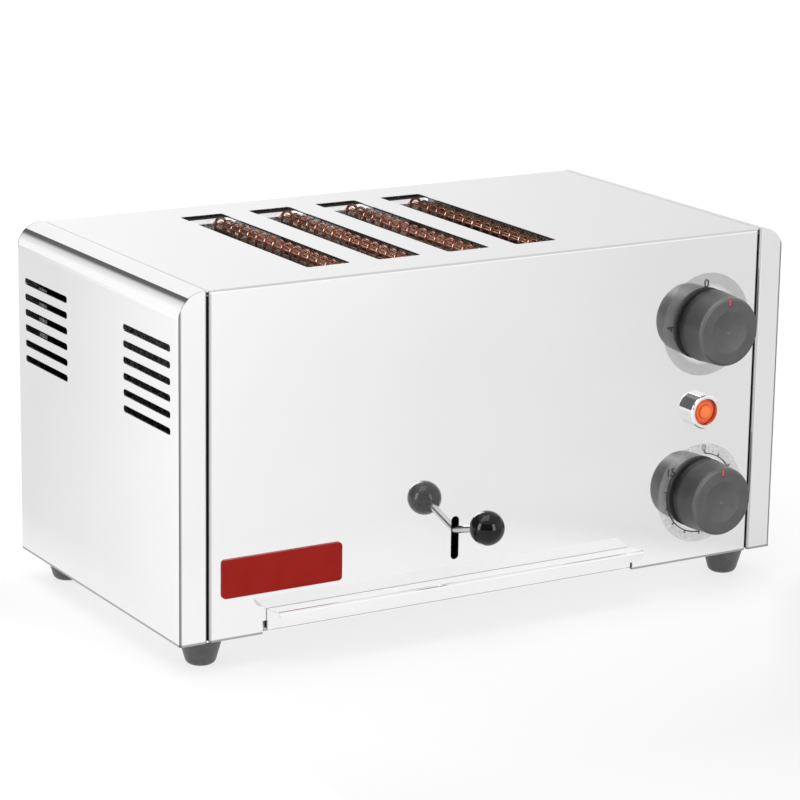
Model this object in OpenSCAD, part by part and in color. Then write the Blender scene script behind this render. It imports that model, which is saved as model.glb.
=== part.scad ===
// Four-slot toaster in folded stainless steel: wire-guarded heating elements, a rocking lever
// that lifts the bread, two rotary controls, an indicator lamp and a pull-out crumb tray.
// The front panel faces -Y. The origin is on the ground, at the middle of the overall box.

/* [Casing] */
// Width over both end cheeks
case_w = 370; // [355:1:400]
// Depth from the front panel to the rear panel
case_d = 193.5; // [190:0.5:215]
// Height of the casing without its feet
case_h = 183; // [176:1:200]
// Thickness of the casing sheet
sheet_t = 1; // [0.8:0.1:1.2]
// Width of each end cheek
cheek_w = 15.5; // [14:0.5:20]
// Radius of the upper edge of an end cheek
cheek_r = 14; // [8:0.5:14]
// Width of the seam between an end cheek and the front or rear panel
seam_gap = 1.2; // [0.6:0.1:2]
// Width of the seam between an end cheek and the top
top_seam = 0.3; // [0.2:0.05:0.6]
// Depth of the seams
seam_depth = 3; // [2:0.1:4]
// Outer radius of the casing's folds
fold_r = 1.6; // [1.4:0.1:3]
// Depth of the turned-in flanges of the casing and of the end cheeks
flange_d = 6; // [5.5:0.5:10]
// Width of the bottom flange of an end cheek
foot_flange_w = 11; // [9:0.5:12]
// Height of the base plate's upturned rims
rim_h = 8; // [5:0.5:10]
// Gap between the base plate and the sheet around it
base_gap = 0.2; // [0.1:0.05:0.4]

/* [Side vents] */
// Length of a vent slot
vent_l = 53; // [40:1:56]
// Height of a vent slot
vent_h = 3.7; // [3:0.1:5]
// Distance from slot to slot
vent_pitch = 8.54; // [7:0.02:10]
// Slots in a column
vent_n = 6; // [4:1:8]
// Height of the top slot's middle above the casing's lower edge
vent_top = 153.25; // [140:0.25:158]
// Distance of a column's middle from the middle of the cheek
vent_spread = 60.2; // [55:0.2:64]
// Corner radius of a vent slot
vent_r = 1.6; // [0.6:0.1:1.6]

/* [Bread slots] */
// Width of a bread slot
slot_w = 25.5; // [20:0.5:28]
// Length of a bread slot
slot_l = 143; // [120:1:144]
// Distance from bread slot to bread slot
slot_pitch = 42.2; // [38:0.2:44]
// Corner radius of a bread slot
slot_r = 1.5; // [1:0.5:6]

/* [Bread chamber] */
// Thickness of the chamber sheet
wall_t = 1; // [0.8:0.1:1.2]
// Distance from the front panel to the chamber
front_space = 19; // [17:0.5:22]
// Distance from the chamber to the rear panel's outer face
rear_space = 5; // [4.5:0.5:8]
// Distance from an outer element to the end wall beside it
end_space = 10; // [8:0.5:14]
// Distance of the front and end walls' upper edges below the top
wall_drop = 2; // [1.6:0.1:4]
// Width of the turned-over upper edge of the front wall
wall_fold = 2.4; // [1.5:0.1:2.8]
// Distance of the rear wall's upper edge below the top
rear_drop = 7.6; // [7:0.1:8]
// Height of the rear wall's leaning upper edge
lean_h = 3; // [2:0.1:4]
// Slope of the rear wall's leaning upper edge, from upright
lean_tilt = 20; // [10:1:25]
// Width of the front and rear walls beyond the tray's notch, on each side
leg_w = 12; // [8:0.5:14]
// Distance of the walls' edges above the tray's notch
over_tray = 2.5; // [2:0.1:4]
// Clearance of tabs and rods in the holes of the walls
tab_gap = 0.15; // [0.1:0.05:0.3]

/* [Heating elements] */
// Thickness of a mica card
card_t = 1.6; // [1:0.1:2]
// Distance of a card's upper edge below the top
card_drop = 13; // [12:0.5:16]
// Height of a card's lower edge above the casing's lower edge
card_low = 64; // [62.5:0.5:80]
// Gap between a card's ends and the chamber walls
card_gap = 0.3; // [0.2:0.1:0.6]
// Height of a card's tabs
tab_h = 9; // [6:0.5:10]
// Distance of the tabs' middles from the card's upper and lower edges
tab_in = 9; // [7:0.5:14]
// Width of the heating ribbon
ribbon_w = 2.2; // [1.2:0.1:3]
// Thickness of the heating ribbon
ribbon_t = 0.3; // [0.2:0.05:0.4]
// Turns of ribbon on a card
ribbon_n = 9; // [6:1:12]
// Depth of the notches that hold the ribbon
notch_in = 2.5; // [1.5:0.1:4]
// Height of a bus bar
bus_h = 8; // [5:0.5:9]
// Thickness of a bus bar
bus_t = 1; // [0.8:0.1:1.5]
// Distance of the bus bars in front of the chamber
bus_out = 4; // [3:0.5:6]

/* [Wire guards] */
// Diameter of the guard wires
wire_d = 1.6; // [1.2:0.1:1.8]
// Radius of the bend over an element, at the wire's middle
hoop_r = 3.2; // [3:0.1:4.5]
// Distance from wire to wire
hoop_pitch = 9.6; // [8:0.2:12]
// Distance of the upper rods below the top
rod_drop = 9.6; // [8.5:0.2:10.5]
// Height of the guards' lower ends above the casing's lower edge
guard_low = 60; // [59:0.5:62]
// How deep a rod and a wire sink into each other at their weld
weld_in = 0.3; // [0.2:0.05:0.4]
// Least distance of an end wire from the chamber wall
hoop_in = 2.5; // [2.3:0.1:6]

/* [Lever] */
// Distance of the pivot behind the front panel
pivot_in = 27; // [26.5:0.5:30]
// Height of the pivot above the casing's lower edge
pivot_h = 31.3; // [30.5:0.1:34]
// Slope of the lever at rest
lever_tilt = 16.5; // [12:0.5:18]
// How far the lever turns when its ball is pressed
lever_swing = 26; // [20:0.5:27]
// Length of the arm from the pivot to the drive pin
arm_l = 64; // [58:0.5:66]
// Thickness of the arm
arm_t = 4; // [3:0.5:5]
// Height of the arm
arm_h = 9; // [8:0.5:10]
// Distance of the ball's middle in front of the panel
ball_out = 31.4; // [26:0.2:45]
// Diameter of the ball
ball_d = 18.4; // [14:0.2:24]
// Diameter of the lever's rod
rod_d = 4; // [3:0.1:4.2]
// Width of the upright slot in the front panel
lever_slot_w = 4.8; // [4.8:0.1:6]
// Height of the slot's lower end above the casing's lower edge
lever_slot_low = 23; // [20:0.1:23.5]
// Height of the slot's upper end above the casing's lower edge
lever_slot_top = 46.7; // [46:0.1:52]
// Length of the hub
hub_l = 10; // [8:0.5:12]
// Diameter of the hub
hub_d = 12; // [11:0.5:13]
// Depth of the rod's seat in the hub
rod_seat = 2; // [1:0.1:3]
// Room above and below the hub in the chamber wall
hub_room = 1.5; // [1:0.1:2]
// Diameter of the pivot pin and of the drive pin
pin_d = 5; // [4:0.1:5.4]
// Radial running clearance of shafts and pins
run_gap = 0.06; // [0.04:0.01:0.1]
// Side clearance of the hub and of the arm's end between their plates
side_gap = 0.6; // [0.4:0.1:1]
// Thickness of the plates that hold the pins
plate_t = 2; // [1.5:0.1:2.5]
// Thickness of the bracket's back plate
bracket_t = 1.5; // [1:0.1:2]
// How far the bracket's back plate laps over the wall, above and below its opening
bracket_lap = 5; // [3:0.5:6]

/* [Bread lift] */
// Thickness of the lift bar
bar_t = 4; // [3:0.2:5]
// Height of the lift bar
bar_h = 8; // [6:0.5:9]
// Distance of the lift bar's lower edge above the drive pin
bar_up = 7; // [6.5:0.1:8]
// Clearance of the drive pin in its slot, above and below
slot_gap = 0.35; // [0.3:0.05:0.6]
// Clearance of the lift bar in the end walls
bar_gap = 0.8; // [0.5:0.1:1.5]
// Diameter of the guide rods
guide_d = 5; // [4:0.1:6]
// Distance of a guide rod from the end wall beside it
guide_out = 8; // [7:0.5:12]
// Wall of the bushes on the guide rods
bush_wall = 1.5; // [1:0.1:2]
// Wall of the lift bar's eyes around the bushes
eye_wall = 2; // [1.5:0.1:3]
// Height of the bushes
bush_h = 12; // [10:0.5:13]
// Spare length of the guide rods beyond the bushes' travel, at each end
guide_end = 3; // [2:0.5:4]
// Width of a guide bracket beside its rod
lug_side = 4; // [3:0.5:5]
// Height of the guide brackets' backs
lug_back = 10; // [8:0.5:14]
// Height of the bread rests' upper face above the casing's lower edge
bread_low = 60; // [58:0.5:66]
// Length of a bread rest
rest_l = 132; // [110:1:138]
// Width of a bread rest
rest_w = 12; // [8:0.5:16]
// Depth of a bread rest's turned-down edges
rest_h = 4.5; // [3:0.5:6]
// Thickness of the bread rests' sheet
rest_t = 1.2; // [1:0.1:1.5]
// Crumb holes in a bread rest
rest_holes = 7; // [4:1:9]
// Share of a bread rest that stands free of its web, at each end
rest_free = 0.15; // [0.1:0.01:0.3]

/* [Crumb tray] */
// Distance of the tray's front plate from the left cheek's outer face
tray_left = 49.4; // [46:0.2:52]
// Distance of the tray's front plate from the right cheek's outer face
tray_right = 95.6; // [92:0.2:98]
// Length of the tray's pan behind the front panel
tray_l = 184; // [170:1:186]
// Thickness of the tray's sheet
tray_t = 0.8; // [0.6:0.1:1]
// Height of the pan's sides
pan_h = 4.2; // [3.5:0.1:4.4]
// How much the pan is narrower than the front plate, on each side
pan_in = 1; // [0.5:0.1:2]
// Gap under the pan
tray_gap = 0.2; // [0.2:0.05:0.3]
// Gap between the tray's front plate and the front panel
face_gap = 0.3; // [0.2:0.05:0.5]
// Height of the front plate's lower edge above the casing's lower edge
plate_low = 2.1; // [1.8:0.1:2.1]
// Height of the front plate's upper edge above the casing's lower edge
plate_top = 13.4; // [11:0.1:14]
// How far the lip stands out
lip_out = 14; // [10:0.5:18]
// How far the lip rises towards its edge
lip_rise = 1.9; // [0:0.1:4]
// Depth of the lip's turned-down edge
lip_down = 5.6; // [4:0.1:8]
// Radius of the lip's lower corners
lip_r = 5; // [1:0.5:5.5]
// Inner radius of the lip's fold
bend_r = 0.8; // [0.4:0.1:1.2]
// Height of the notch in the front panel
notch_h = 7; // [7:0.1:7.4]
// Side clearance of the notch beside the front plate
notch_gap = 2.2; // [1.8:0.1:3]
// Side clearance between the pan and its runners
runner_gap = 0.6; // [0.4:0.1:1]
// Thickness of the runners
runner_t = 1; // [0.8:0.1:1]
// Width of the runners' upper and lower legs
runner_w = 5; // [3:0.5:7]

/* [Controls] */
// Distance of the controls' upright line from the right cheek's outer face
control_in = 49.8; // [46:0.2:56]
// Height of the selector above the casing's lower edge
selector_h = 133.2; // [125:0.2:140]
// Height of the lamp above the casing's lower edge
lamp_h = 85.6; // [80:0.2:90]
// Distance of the lamp to the left of the controls' upright line
lamp_shift = 2.5; // [0:0.1:4]
// Height of the timer above the casing's lower edge
timer_h = 38; // [34:0.5:44]
// Radius of the selector's scale
selector_scale_r = 28.5; // [25:0.1:30]
// Radius of the timer's scale
timer_scale_r = 27.9; // [25:0.1:30]
// Radius of the hole in the scales
scale_hole_r = 20.6; // [8:0.1:22]
// Thickness of the scales
scale_t = 0.4; // [0.2:0.1:0.8]
// Radius of a knob's face
knob_r = 18.9; // [16:0.1:22]
// Depth of a knob
knob_d = 18; // [16:0.5:24]
// Gap between a knob and the front panel
knob_gap = 3.3; // [2:0.1:5]
// Draft of a knob's side
knob_draft = 3.8; // [0:0.1:6]
// Radius of a knob's rounded rim
knob_rim = 1.6; // [0.8:0.1:3]
// Depth of the dish in a knob's face
dish_depth = 0.9; // [0.4:0.1:1.2]
// Radius of the dish in a knob's face
dish_r = 11.5; // [9:0.1:15]
// Wall of a knob
knob_wall = 3; // [2:0.1:4]
// Radius of a knob's hub
knob_hub_r = 6.5; // [5:0.1:8]
// Diameter of the control shafts
shaft_d = 6; // [5:0.1:7]
// Room around a control shaft in the front panel
shaft_room = 2; // [1:0.1:3]
// Depth of the flat on a control shaft
shaft_flat = 1.2; // [0.8:0.1:1.5]
// Depth of the shafts inside the knobs
shaft_in_knob = 11; // [8:0.5:12]
// Depth of the shafts inside the switch and the timer
shaft_in_body = 22; // [16:0.5:26]
// Width of the pointer groove
pointer_w = 1.4; // [1:0.1:2]
// Length of the pointer groove
pointer_l = 4.5; // [3.5:0.5:9]
// Depth of the pointer groove
pointer_d = 0.6; // [0.4:0.1:0.8]

/* [Switch, timer and lamp] */
// Side of the selector switch
switch_w = 40; // [34:1:44]
// Depth of the selector switch
switch_d = 38; // [32:1:44]
// Thickness of the switch's mounting plate
switch_plate = 3; // [2:0.5:4]
// Corner radius of the switch's mounting plate
switch_r = 3; // [1:0.5:5]
// Wafers of the switch
wafer_n = 3; // [2:1:4]
// How much the wafers are smaller than the mounting plate, on each side
wafer_in = 2; // [1:0.5:3]
// Corner radius of the wafers
wafer_r = 5; // [2:0.5:8]
// Gap between the wafers
wafer_gap = 2; // [1:0.5:3]
// How much the neck between the wafers is smaller than the mounting plate, on each side
neck_in = 5; // [4:0.5:8]
// Width of the terminal blades
blade_w = 5; // [4:0.5:6.5]
// Length of the terminal blades
blade_l = 8; // [6:0.5:10]
// Thickness of the terminal blades
blade_t = 0.8; // [0.6:0.1:1]
// Width of the timer
timer_w = 46; // [40:1:50]
// Height of the timer
timer_tall = 42; // [36:1:46]
// Depth of the timer
timer_d = 32; // [28:1:40]
// Thickness of the timer's mounting plate
timer_plate = 1.5; // [1:0.1:2]
// How far the timer's mounting plate reaches past the timer, above and below
timer_ear = 4.5; // [3:0.5:6]
// How much the timer's case is smaller than its mounting plate, on each side
timer_in = 2; // [1:0.5:3]
// Corner radius of the timer's case
timer_r = 3; // [1:0.5:5]
// Length of the timer's spring barrel
barrel_l = 4; // [2:0.5:6]
// Diameter of the lamp's bezel
bezel_d = 18.9; // [16:0.1:20]
// How far the bezel stands out
bezel_out = 6.5; // [4:0.1:8]
// Width of the bezel's face
bezel_face = 2; // [1.5:0.1:3]
// Radius of the bezel's rounded edge
bezel_rim = 0.9; // [0.5:0.1:1.1]
// Distance of the lens's seat in front of the panel
lens_seat = 1.5; // [1:0.1:2]
// Radius of the lens's rounded steps
lens_rim = 0.4; // [0.2:0.1:0.5]
// Diameter of the lamp's body
lamp_d = 11.5; // [10:0.1:12]
// Length of the lamp's body behind the panel
lamp_l = 26; // [20:1:36]
// Height and width of the lamp's collar behind the panel
lamp_collar = 3; // [2:0.5:4]
// Gap between the lens and the bezel
lens_gap = 0.15; // [0.1:0.05:0.3]

/* [Badge plate] */
// Width of the badge plate
badge_w = 69.5; // [50:0.5:80]
// Height of the badge plate
badge_h = 20.5; // [15:0.5:24]
// Thickness of the badge plate
badge_t = 1.2; // [0.8:0.1:2]
// Distance of the badge plate's middle from the left cheek's outer face
badge_in = 58.3; // [57:0.1:75]
// Height of the badge plate's middle above the casing's lower edge
badge_z = 32.6; // [28:0.1:40]
// Corner radius of the badge plate
badge_r = 2; // [0.5:0.5:4]

/* [Feet] */
// Height of the feet
foot_h = 15.9; // [12:0.1:24]
// Radius of a foot at its lower end
foot_r = 8.3; // [7.2:0.1:9]
// Radius of a foot's lower edge
foot_edge = 3.5; // [1:0.1:3.5]
// Draft of a foot's side
foot_draft = 16; // [6:0.5:17]
// Distance of a foot's middle from the cheek's outer face
foot_in_x = 20; // [19:0.1:22]
// Distance of a foot's middle from the front or rear panel
foot_in_y = 16.5; // [16:0.1:20]
// Diameter of the feet's studs
stud_d = 5; // [4:0.5:6]
// Length of the studs above the base plate
stud_l = 8; // [6:0.5:10]
// Width of the feet's nuts across flats
foot_nut_w = 8; // [7:0.5:8.5]
// Height of the feet's nuts
foot_nut_h = 4; // [3:0.5:5]
// Diameter of the cheek screws
screw_d = 4; // [3:0.5:4]
// Diameter of the cheek screws' heads
screw_head_d = 7.5; // [6:0.5:8]
// Height of the cheek screws' heads
screw_head_h = 2.4; // [2:0.1:3]
// Distance of a cheek screw from the front or rear panel
screw_in = 50; // [44:1:70]

/* [Cord entry] */
// Distance of the gland from the right cheek's outer face
gland_in = 62; // [55:1:80]
// Height of the gland above the casing's lower edge
gland_h = 34; // [30:1:60]
// Diameter of the gland's thread
gland_d = 16; // [14:0.5:18]
// Bore of the gland
gland_bore = 8; // [6:0.5:10]
// How far the gland stands out of the rear panel
gland_out = 12; // [9:0.5:16]
// Width of the gland's hexagons across flats
gland_hex = 20; // [19:0.5:24]
// Height of the gland's hexagons
gland_hex_h = 4.5; // [3:0.5:6]
// Radius of the gland's rounded end
gland_rim = 2; // [1:0.1:3]
// Ways of the terminal block
block_n = 3; // [2:1:4]
// Length of the terminal block
block_l = 46; // [30:1:60]
// Width of the terminal block
block_w = 20; // [16:1:24]
// Height of the terminal block
block_h = 16; // [12:1:18]

/* [Hidden] */
$fn = 64;
over = 1; // how far a cutter reaches past the face that it opens

// The overall box runs from the ball's front to the gland's end
front_reach = ball_out + ball_d / 2;
front_y = front_reach - (front_reach + case_d + gland_out) / 2;
rear_y = front_y + case_d;
base_z = foot_h;
top_z = base_z + case_h;
mid_y = (front_y + rear_y) / 2;
cheek_x = case_w / 2 - cheek_w;
wrap_x = cheek_x - seam_gap;
edge_r = min(cheek_r, cheek_w - sheet_t);
floor_z = base_z + sheet_t;
base_x = case_w / 2 - sheet_t - base_gap;
base_y = case_d / 2 - sheet_t - base_gap;

// Crumb tray; the chamber and the lever stand on its middle line
tray_w = case_w - tray_left - tray_right;
tray_x = (tray_left - tray_right) / 2;
chamber_x = tray_x;
lever_x = tray_x;
notch_x = tray_w / 2 + notch_gap;
pan_x = tray_w / 2 - pan_in;
pan_z = floor_z + runner_t + tray_gap;
clear_z = base_z + notch_h + over_tray;
runner_z = base_z + notch_h + runner_t;

// Chamber: inner faces of its four walls
chamber_y0 = front_y + front_space;
chamber_y1 = rear_y - rear_space;
chamber_l = chamber_y1 - chamber_y0;
chamber_half = 2 * slot_pitch + end_space;
wall_top = top_z - wall_drop;
card_z0 = base_z + card_low;
card_z1 = top_z - card_drop;
tab_zs = [card_z0 + tab_in, card_z1 - tab_in];
bus_y = chamber_y0 - wall_t - bus_out - bus_t;
rod_zs = [base_z + guard_low + wire_d, top_z - rod_drop];
rod_x = hoop_r - wire_d + weld_in;
hoop_n = floor((chamber_l - 2 * hoop_in) / hoop_pitch) + 1;

// Lever: places at rest, and what the lift gains from a full press
pivot_y = front_y + pivot_in;
pivot_z = base_z + pivot_h;
ball_l = (ball_out + pivot_in) / cos(lever_tilt);
bar_y = pivot_y + arm_l * cos(lever_tilt);
pin_z = pivot_z - arm_l * sin(lever_tilt);
pin_shift = arm_l * (1 - cos(lever_tilt));
lift_rise = arm_l * (sin(lever_tilt) + sin(lever_swing - lever_tilt));
bar_z0 = pin_z + bar_up;
bar_z1 = bar_z0 + bar_h;
bar_mid = (bar_z0 + bar_z1) / 2;
guide_x = chamber_half + wall_t + guide_out;
bush_r = guide_d / 2 + run_gap + bush_wall;
eye_r = bush_r + eye_wall;
lug_x = arm_t / 2 + side_gap + plate_t / 2;
pin_slot_h = pin_d + 2 * slot_gap;
ear_x = hub_l / 2 + side_gap + plate_t / 2;
wall_slot_w = hub_l + 2 * side_gap;
wall_slot_h = hub_d + 2 * hub_room;

badge_x = badge_in - case_w / 2;
control_x = case_w / 2 - control_in;
lamp_x = control_x - lamp_shift;
gland_x = case_w / 2 - gland_in;
foot_xy = [case_w / 2 - foot_in_x, case_d / 2 - foot_in_y];
screw_x = case_w / 2 - sheet_t - foot_flange_w / 2;
panel_in = front_y + sheet_t;

function slot_x(i) = chamber_x + (i - 2.5) * slot_pitch;
function element_x(i) = chamber_x + (i - 3) * slot_pitch;

// Shared shapes

// Outline in the YZ plane, pushed out to both sides of X = 0
module along_x(length) {
    rotate([90, 0, 90]) linear_extrude(length, center = true) children();
}

// Outline in the XZ plane, pushed from y0 back to y1
module along_y(y0, y1) {
    translate([0, y1, 0]) rotate([90, 0, 0]) linear_extrude(y1 - y0) children();
}

// Place on the front panel: local z points out of the panel, local y up
module on_front(x, h) {
    translate([x, front_y, base_z + h]) rotate([90, 0, 0]) children();
}

// Place on the rear panel: local z points out of the panel
module on_rear(x, h) {
    translate([x, rear_y, base_z + h]) rotate([-90, 0, 0]) children();
}

// Place at the lever's pivot: local y runs along the arm, away from the ball
module on_lever() {
    translate([lever_x, pivot_y, pivot_z]) rotate([-lever_tilt, 0, 0]) children();
}

module pin_x(d, length) {
    rotate([0, 90, 0]) cylinder(d = d, h = length, center = true);
}

module round_rect(w, h, r) {
    square([w - 2 * r, h], center = true);
    square([w, h - 2 * r], center = true);
    for (x = [-1, 1], y = [-1, 1]) translate([x * (w / 2 - r), y * (h / 2 - r)]) circle(r);
}

// What is cut away to round a corner that points to +x and +y
module corner_waste(r) {
    difference() {
        square(r + over);
        circle(r);
    }
}

// Upright slot with round ends
module obround(w, h) {
    square([w, h - w], center = true);
    for (s = [-1, 1]) translate([0, s * (h - w) / 2]) circle(d = w);
}

module hexagon(across) {
    circle(d = across / cos(30), $fn = 6);
}

// Half profile of a turned body: its seat lies at 0, its side draws in to a rounded end at h
module drafted_half(end_r, h, rim, draft) {
    middle = [end_r - rim, h - rim];
    touch = middle + rim * [cos(draft), sin(draft)];
    seat_r = touch[0] + touch[1] * tan(draft);
    polygon([[0, 0], [seat_r, 0], touch, middle, [middle[0], h], [0, h]]);
    translate(middle) circle(rim);
}

// Side view of the casing: flat below, with two rounded upper corners
module arch(inset, bottom) {
    r = max(fold_r - inset, sheet_t / 4);
    w = case_d - 2 * inset;
    h = top_z - inset - bottom;
    translate([front_y + inset, bottom]) {
        square([w, h - r]);
        translate([r, 0]) square([w - 2 * r, h]);
        for (y = [r, w - r]) translate([y, h - r]) circle(r);
    }
}

// Side view of a turned-in flange that follows the casing's front, top and rear
module flange_outline(inset) {
    difference() {
        arch(inset, floor_z);
        translate([front_y + flange_d, base_z]) square([case_d - 2 * flange_d, case_h - flange_d]);
    }
}

// Casing

module folded_casing() {
    color("gainsboro") difference() {
        union() {
            along_x(2 * wrap_x) difference() {
                arch(0, base_z);
                arch(sheet_t, base_z - over);
            }
            translate([0, mid_y, top_z - sheet_t / 2])
                cube([2 * (cheek_x - top_seam), case_d - 2 * fold_r, sheet_t], center = true);
            for (s = [-1, 1]) translate([s * (wrap_x - sheet_t / 2), 0, 0])
                along_x(sheet_t) flange_outline(sheet_t / 2);
        }
        for (i = [1:4]) translate([slot_x(i), mid_y, top_z - sheet_t - over])
            linear_extrude(sheet_t + 2 * over) round_rect(slot_w, slot_l, slot_r);
        upright_edges(0, wrap_x);
        front_hole(control_x, selector_h) circle(d = shaft_d + 2 * shaft_room);
        front_hole(control_x, timer_h) circle(d = shaft_d + 2 * shaft_room);
        front_hole(lamp_x, lamp_h) circle(d = lamp_d + 2 * lens_gap);
        front_hole(lever_x, (lever_slot_low + lever_slot_top) / 2)
            obround(lever_slot_w, lever_slot_top - lever_slot_low);
        front_hole(tray_x, (notch_h - over) / 2) square([2 * notch_x, notch_h + over], center = true);
        on_rear(gland_x, gland_h) cylinder(d = gland_d + 2 * lens_gap, h = 2 * sheet_t + over, center = true);
    }
}

// What is cut away to round the four upright edges of a box with its middle at x
module upright_edges(x, half_w) {
    for (sx = [0, 1], sy = [0, 1]) translate([x, mid_y, base_z - over]) mirror([sx, 0, 0]) mirror([0, sy, 0])
        translate([half_w - fold_r, case_d / 2 - fold_r, 0])
            linear_extrude(case_h + 2 * over) corner_waste(fold_r);
}

module front_hole(x, h) {
    on_front(x, h) linear_extrude(2 * sheet_t + over, center = true) children();
}

// Front view of the left cheek, with its outer upper corner rounded
module cheek_outline(inset, bottom) {
    r = edge_r - inset;
    left = -case_w / 2 + inset;
    top = top_z - inset;
    intersection() {
        union() {
            translate([left, bottom]) square([cheek_w, top - r - bottom]);
            translate([left + r, bottom]) square([cheek_w, top - bottom]);
            translate([left + r, top - r]) circle(r);
        }
        translate([left, bottom]) square([cheek_w - inset + (inset > 0 ? over : 0), top - bottom]);
    }
}

module end_cheek() {
    difference() {
        union() {
            difference() {
                along_y(front_y, rear_y) cheek_outline(0, base_z);
                along_y(front_y + sheet_t, rear_y - sheet_t) cheek_outline(sheet_t, base_z - over);
            }
            translate([-case_w / 2 + sheet_t / 2, front_y + sheet_t / 2, floor_z])
                cube([foot_flange_w + sheet_t / 2, case_d - sheet_t, sheet_t]);
            translate([-cheek_x - sheet_t / 2, 0, 0]) along_x(sheet_t) flange_outline(sheet_t / 2);
            translate([-(cheek_x + wrap_x + sheet_t / 2) / 2, 0, 0])
                along_x(seam_gap + sheet_t / 2) flange_outline(seam_depth);
        }
        upright_edges((cheek_w - case_w) / 2, cheek_w / 2);
        for (s = [-1, 1], k = [0:vent_n - 1])
            translate([-case_w / 2, mid_y + s * vent_spread, base_z + vent_top - k * vent_pitch])
                along_x(2 * sheet_t + over) round_rect(vent_l, vent_h, vent_r);
        for (s = [-1, 1]) translate([-screw_x, mid_y + s * (case_d / 2 - screw_in), floor_z - over])
            cylinder(d = screw_d, h = sheet_t + 2 * over);
    }
}

module left_end_cheek() {
    color("gainsboro") end_cheek();
}

module right_end_cheek() {
    color("gainsboro") mirror([1, 0, 0]) end_cheek();
}

module base_plate() {
    rim_x = wrap_x - sheet_t - base_gap;
    color("silver") difference() {
        union() {
            translate([-base_x, mid_y - base_y, base_z]) cube([2 * base_x, 2 * base_y, sheet_t]);
            translate([-rim_x, mid_y - base_y, base_z]) cube([2 * rim_x, sheet_t, sheet_t + rim_h]);
            translate([-rim_x, mid_y + base_y - sheet_t, base_z]) cube([2 * rim_x, sheet_t, sheet_t + rim_h]);
        }
        translate([tray_x - notch_x, front_y, floor_z]) cube([2 * notch_x, 3 * sheet_t, rim_h + over]);
        at_feet(base_z - over) cylinder(d = stud_d + 2 * base_gap, h = sheet_t + 2 * over);
        at_screws(base_z - over) cylinder(d = screw_d + 2 * base_gap, h = sheet_t + 2 * over);
    }
}

module at_feet(z) {
    for (sx = [-1, 1], sy = [-1, 1]) translate([sx * foot_xy[0], mid_y + sy * foot_xy[1], z]) children();
}

module at_screws(z) {
    for (sx = [-1, 1], sy = [-1, 1])
        translate([sx * screw_x, mid_y + sy * (case_d / 2 - screw_in), z]) children();
}

module rubber_feet() {
    color("dimgray") at_feet(base_z) {
        rotate([180, 0, 0]) rotate_extrude() drafted_half(foot_r, foot_h, foot_edge, foot_draft);
        cylinder(d = stud_d, h = sheet_t + stud_l);
    }
}

module foot_nuts() {
    color("silver") at_feet(floor_z) linear_extrude(foot_nut_h) difference() {
        hexagon(foot_nut_w);
        circle(d = stud_d);
    }
}

module cheek_screws() {
    color("silver") at_screws(base_z) {
        cylinder(d = screw_d, h = 3 * sheet_t + over);
        rotate([180, 0, 0]) rotate_extrude()
            drafted_half(screw_head_d / 2, screw_head_h, screw_head_h / 2, 0);
    }
}

module badge_plate() {
    color("firebrick") on_front(badge_x, badge_z) linear_extrude(badge_t)
        round_rect(badge_w, badge_h, badge_r);
}

// Cord entry

module cord_gland() {
    thread_l = sheet_t + gland_hex_h + over;
    color("dimgray") on_rear(gland_x, gland_h) {
        rotate_extrude() difference() {
            union() {
                translate([0, -thread_l]) square([gland_d / 2, thread_l + over]);
                drafted_half(gland_d / 2 + over, gland_out, gland_rim, 0);
            }
            translate([0, -thread_l - over]) square([gland_bore / 2, thread_l + gland_out + 2 * over]);
        }
        linear_extrude(gland_hex_h) difference() {
            hexagon(gland_hex);
            circle(d = gland_bore + 2 * over);
        }
    }
}

module gland_nut() {
    color("dimgray") on_rear(gland_x, gland_h) translate([0, 0, -sheet_t - gland_hex_h])
        linear_extrude(gland_hex_h) difference() {
            hexagon(gland_hex);
            circle(d = gland_d);
        }
}

module terminal_block() {
    way_l = block_l / block_n;
    block_y = rear_y - 2 * block_w - gland_hex_h;
    color("ivory") translate([gland_x, block_y, floor_z]) difference() {
        translate([-block_l / 2, -block_w / 2, 0]) cube([block_l, block_w, block_h]);
        for (k = [0:block_n - 1]) translate([(k - (block_n - 1) / 2) * way_l, 0, block_h / 2]) {
            rotate([90, 0, 0]) cylinder(d = way_l / 3, h = block_w + over, center = true);
            for (s = [-1, 1]) translate([0, s * block_w / 4, 0]) cylinder(d = way_l / 3, h = block_h);
        }
    }
}

// Controls

module dial_scale(radius) {
    linear_extrude(scale_t) difference() {
        circle(radius);
        circle(scale_hole_r);
    }
}

module selector_scale() {
    color("lightgray") on_front(control_x, selector_h) dial_scale(selector_scale_r);
}

module timer_scale() {
    color("lightgray") on_front(control_x, timer_h) dial_scale(timer_scale_r);
}

// Round shaft with one flat, as an outline
module flatted(d) {
    difference() {
        circle(d = d);
        translate([-d, shaft_d / 2 - shaft_flat + (d - shaft_d) / 2]) square([2 * d, d]);
    }
}

module knob() {
    dish_ball = (dish_r * dish_r + dish_depth * dish_depth) / (2 * dish_depth);
    cavity_d = knob_d - knob_wall - dish_depth;
    translate([0, 0, knob_gap]) difference() {
        union() {
            difference() {
                rotate_extrude() drafted_half(knob_r, knob_d, knob_rim, knob_draft);
                translate([0, 0, -over]) cylinder(r = knob_r - knob_wall, h = cavity_d + over);
                translate([0, 0, knob_d - dish_depth + dish_ball]) sphere(dish_ball, $fn = 128);
            }
            cylinder(r = knob_hub_r, h = cavity_d + over);
        }
        translate([0, 0, -over]) linear_extrude(shaft_in_knob + over) flatted(shaft_d + 2 * run_gap);
        translate([-pointer_w / 2, knob_r - pointer_l, knob_d - pointer_d])
            cube([pointer_w, pointer_l + over, pointer_d + over]);
    }
}

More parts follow.
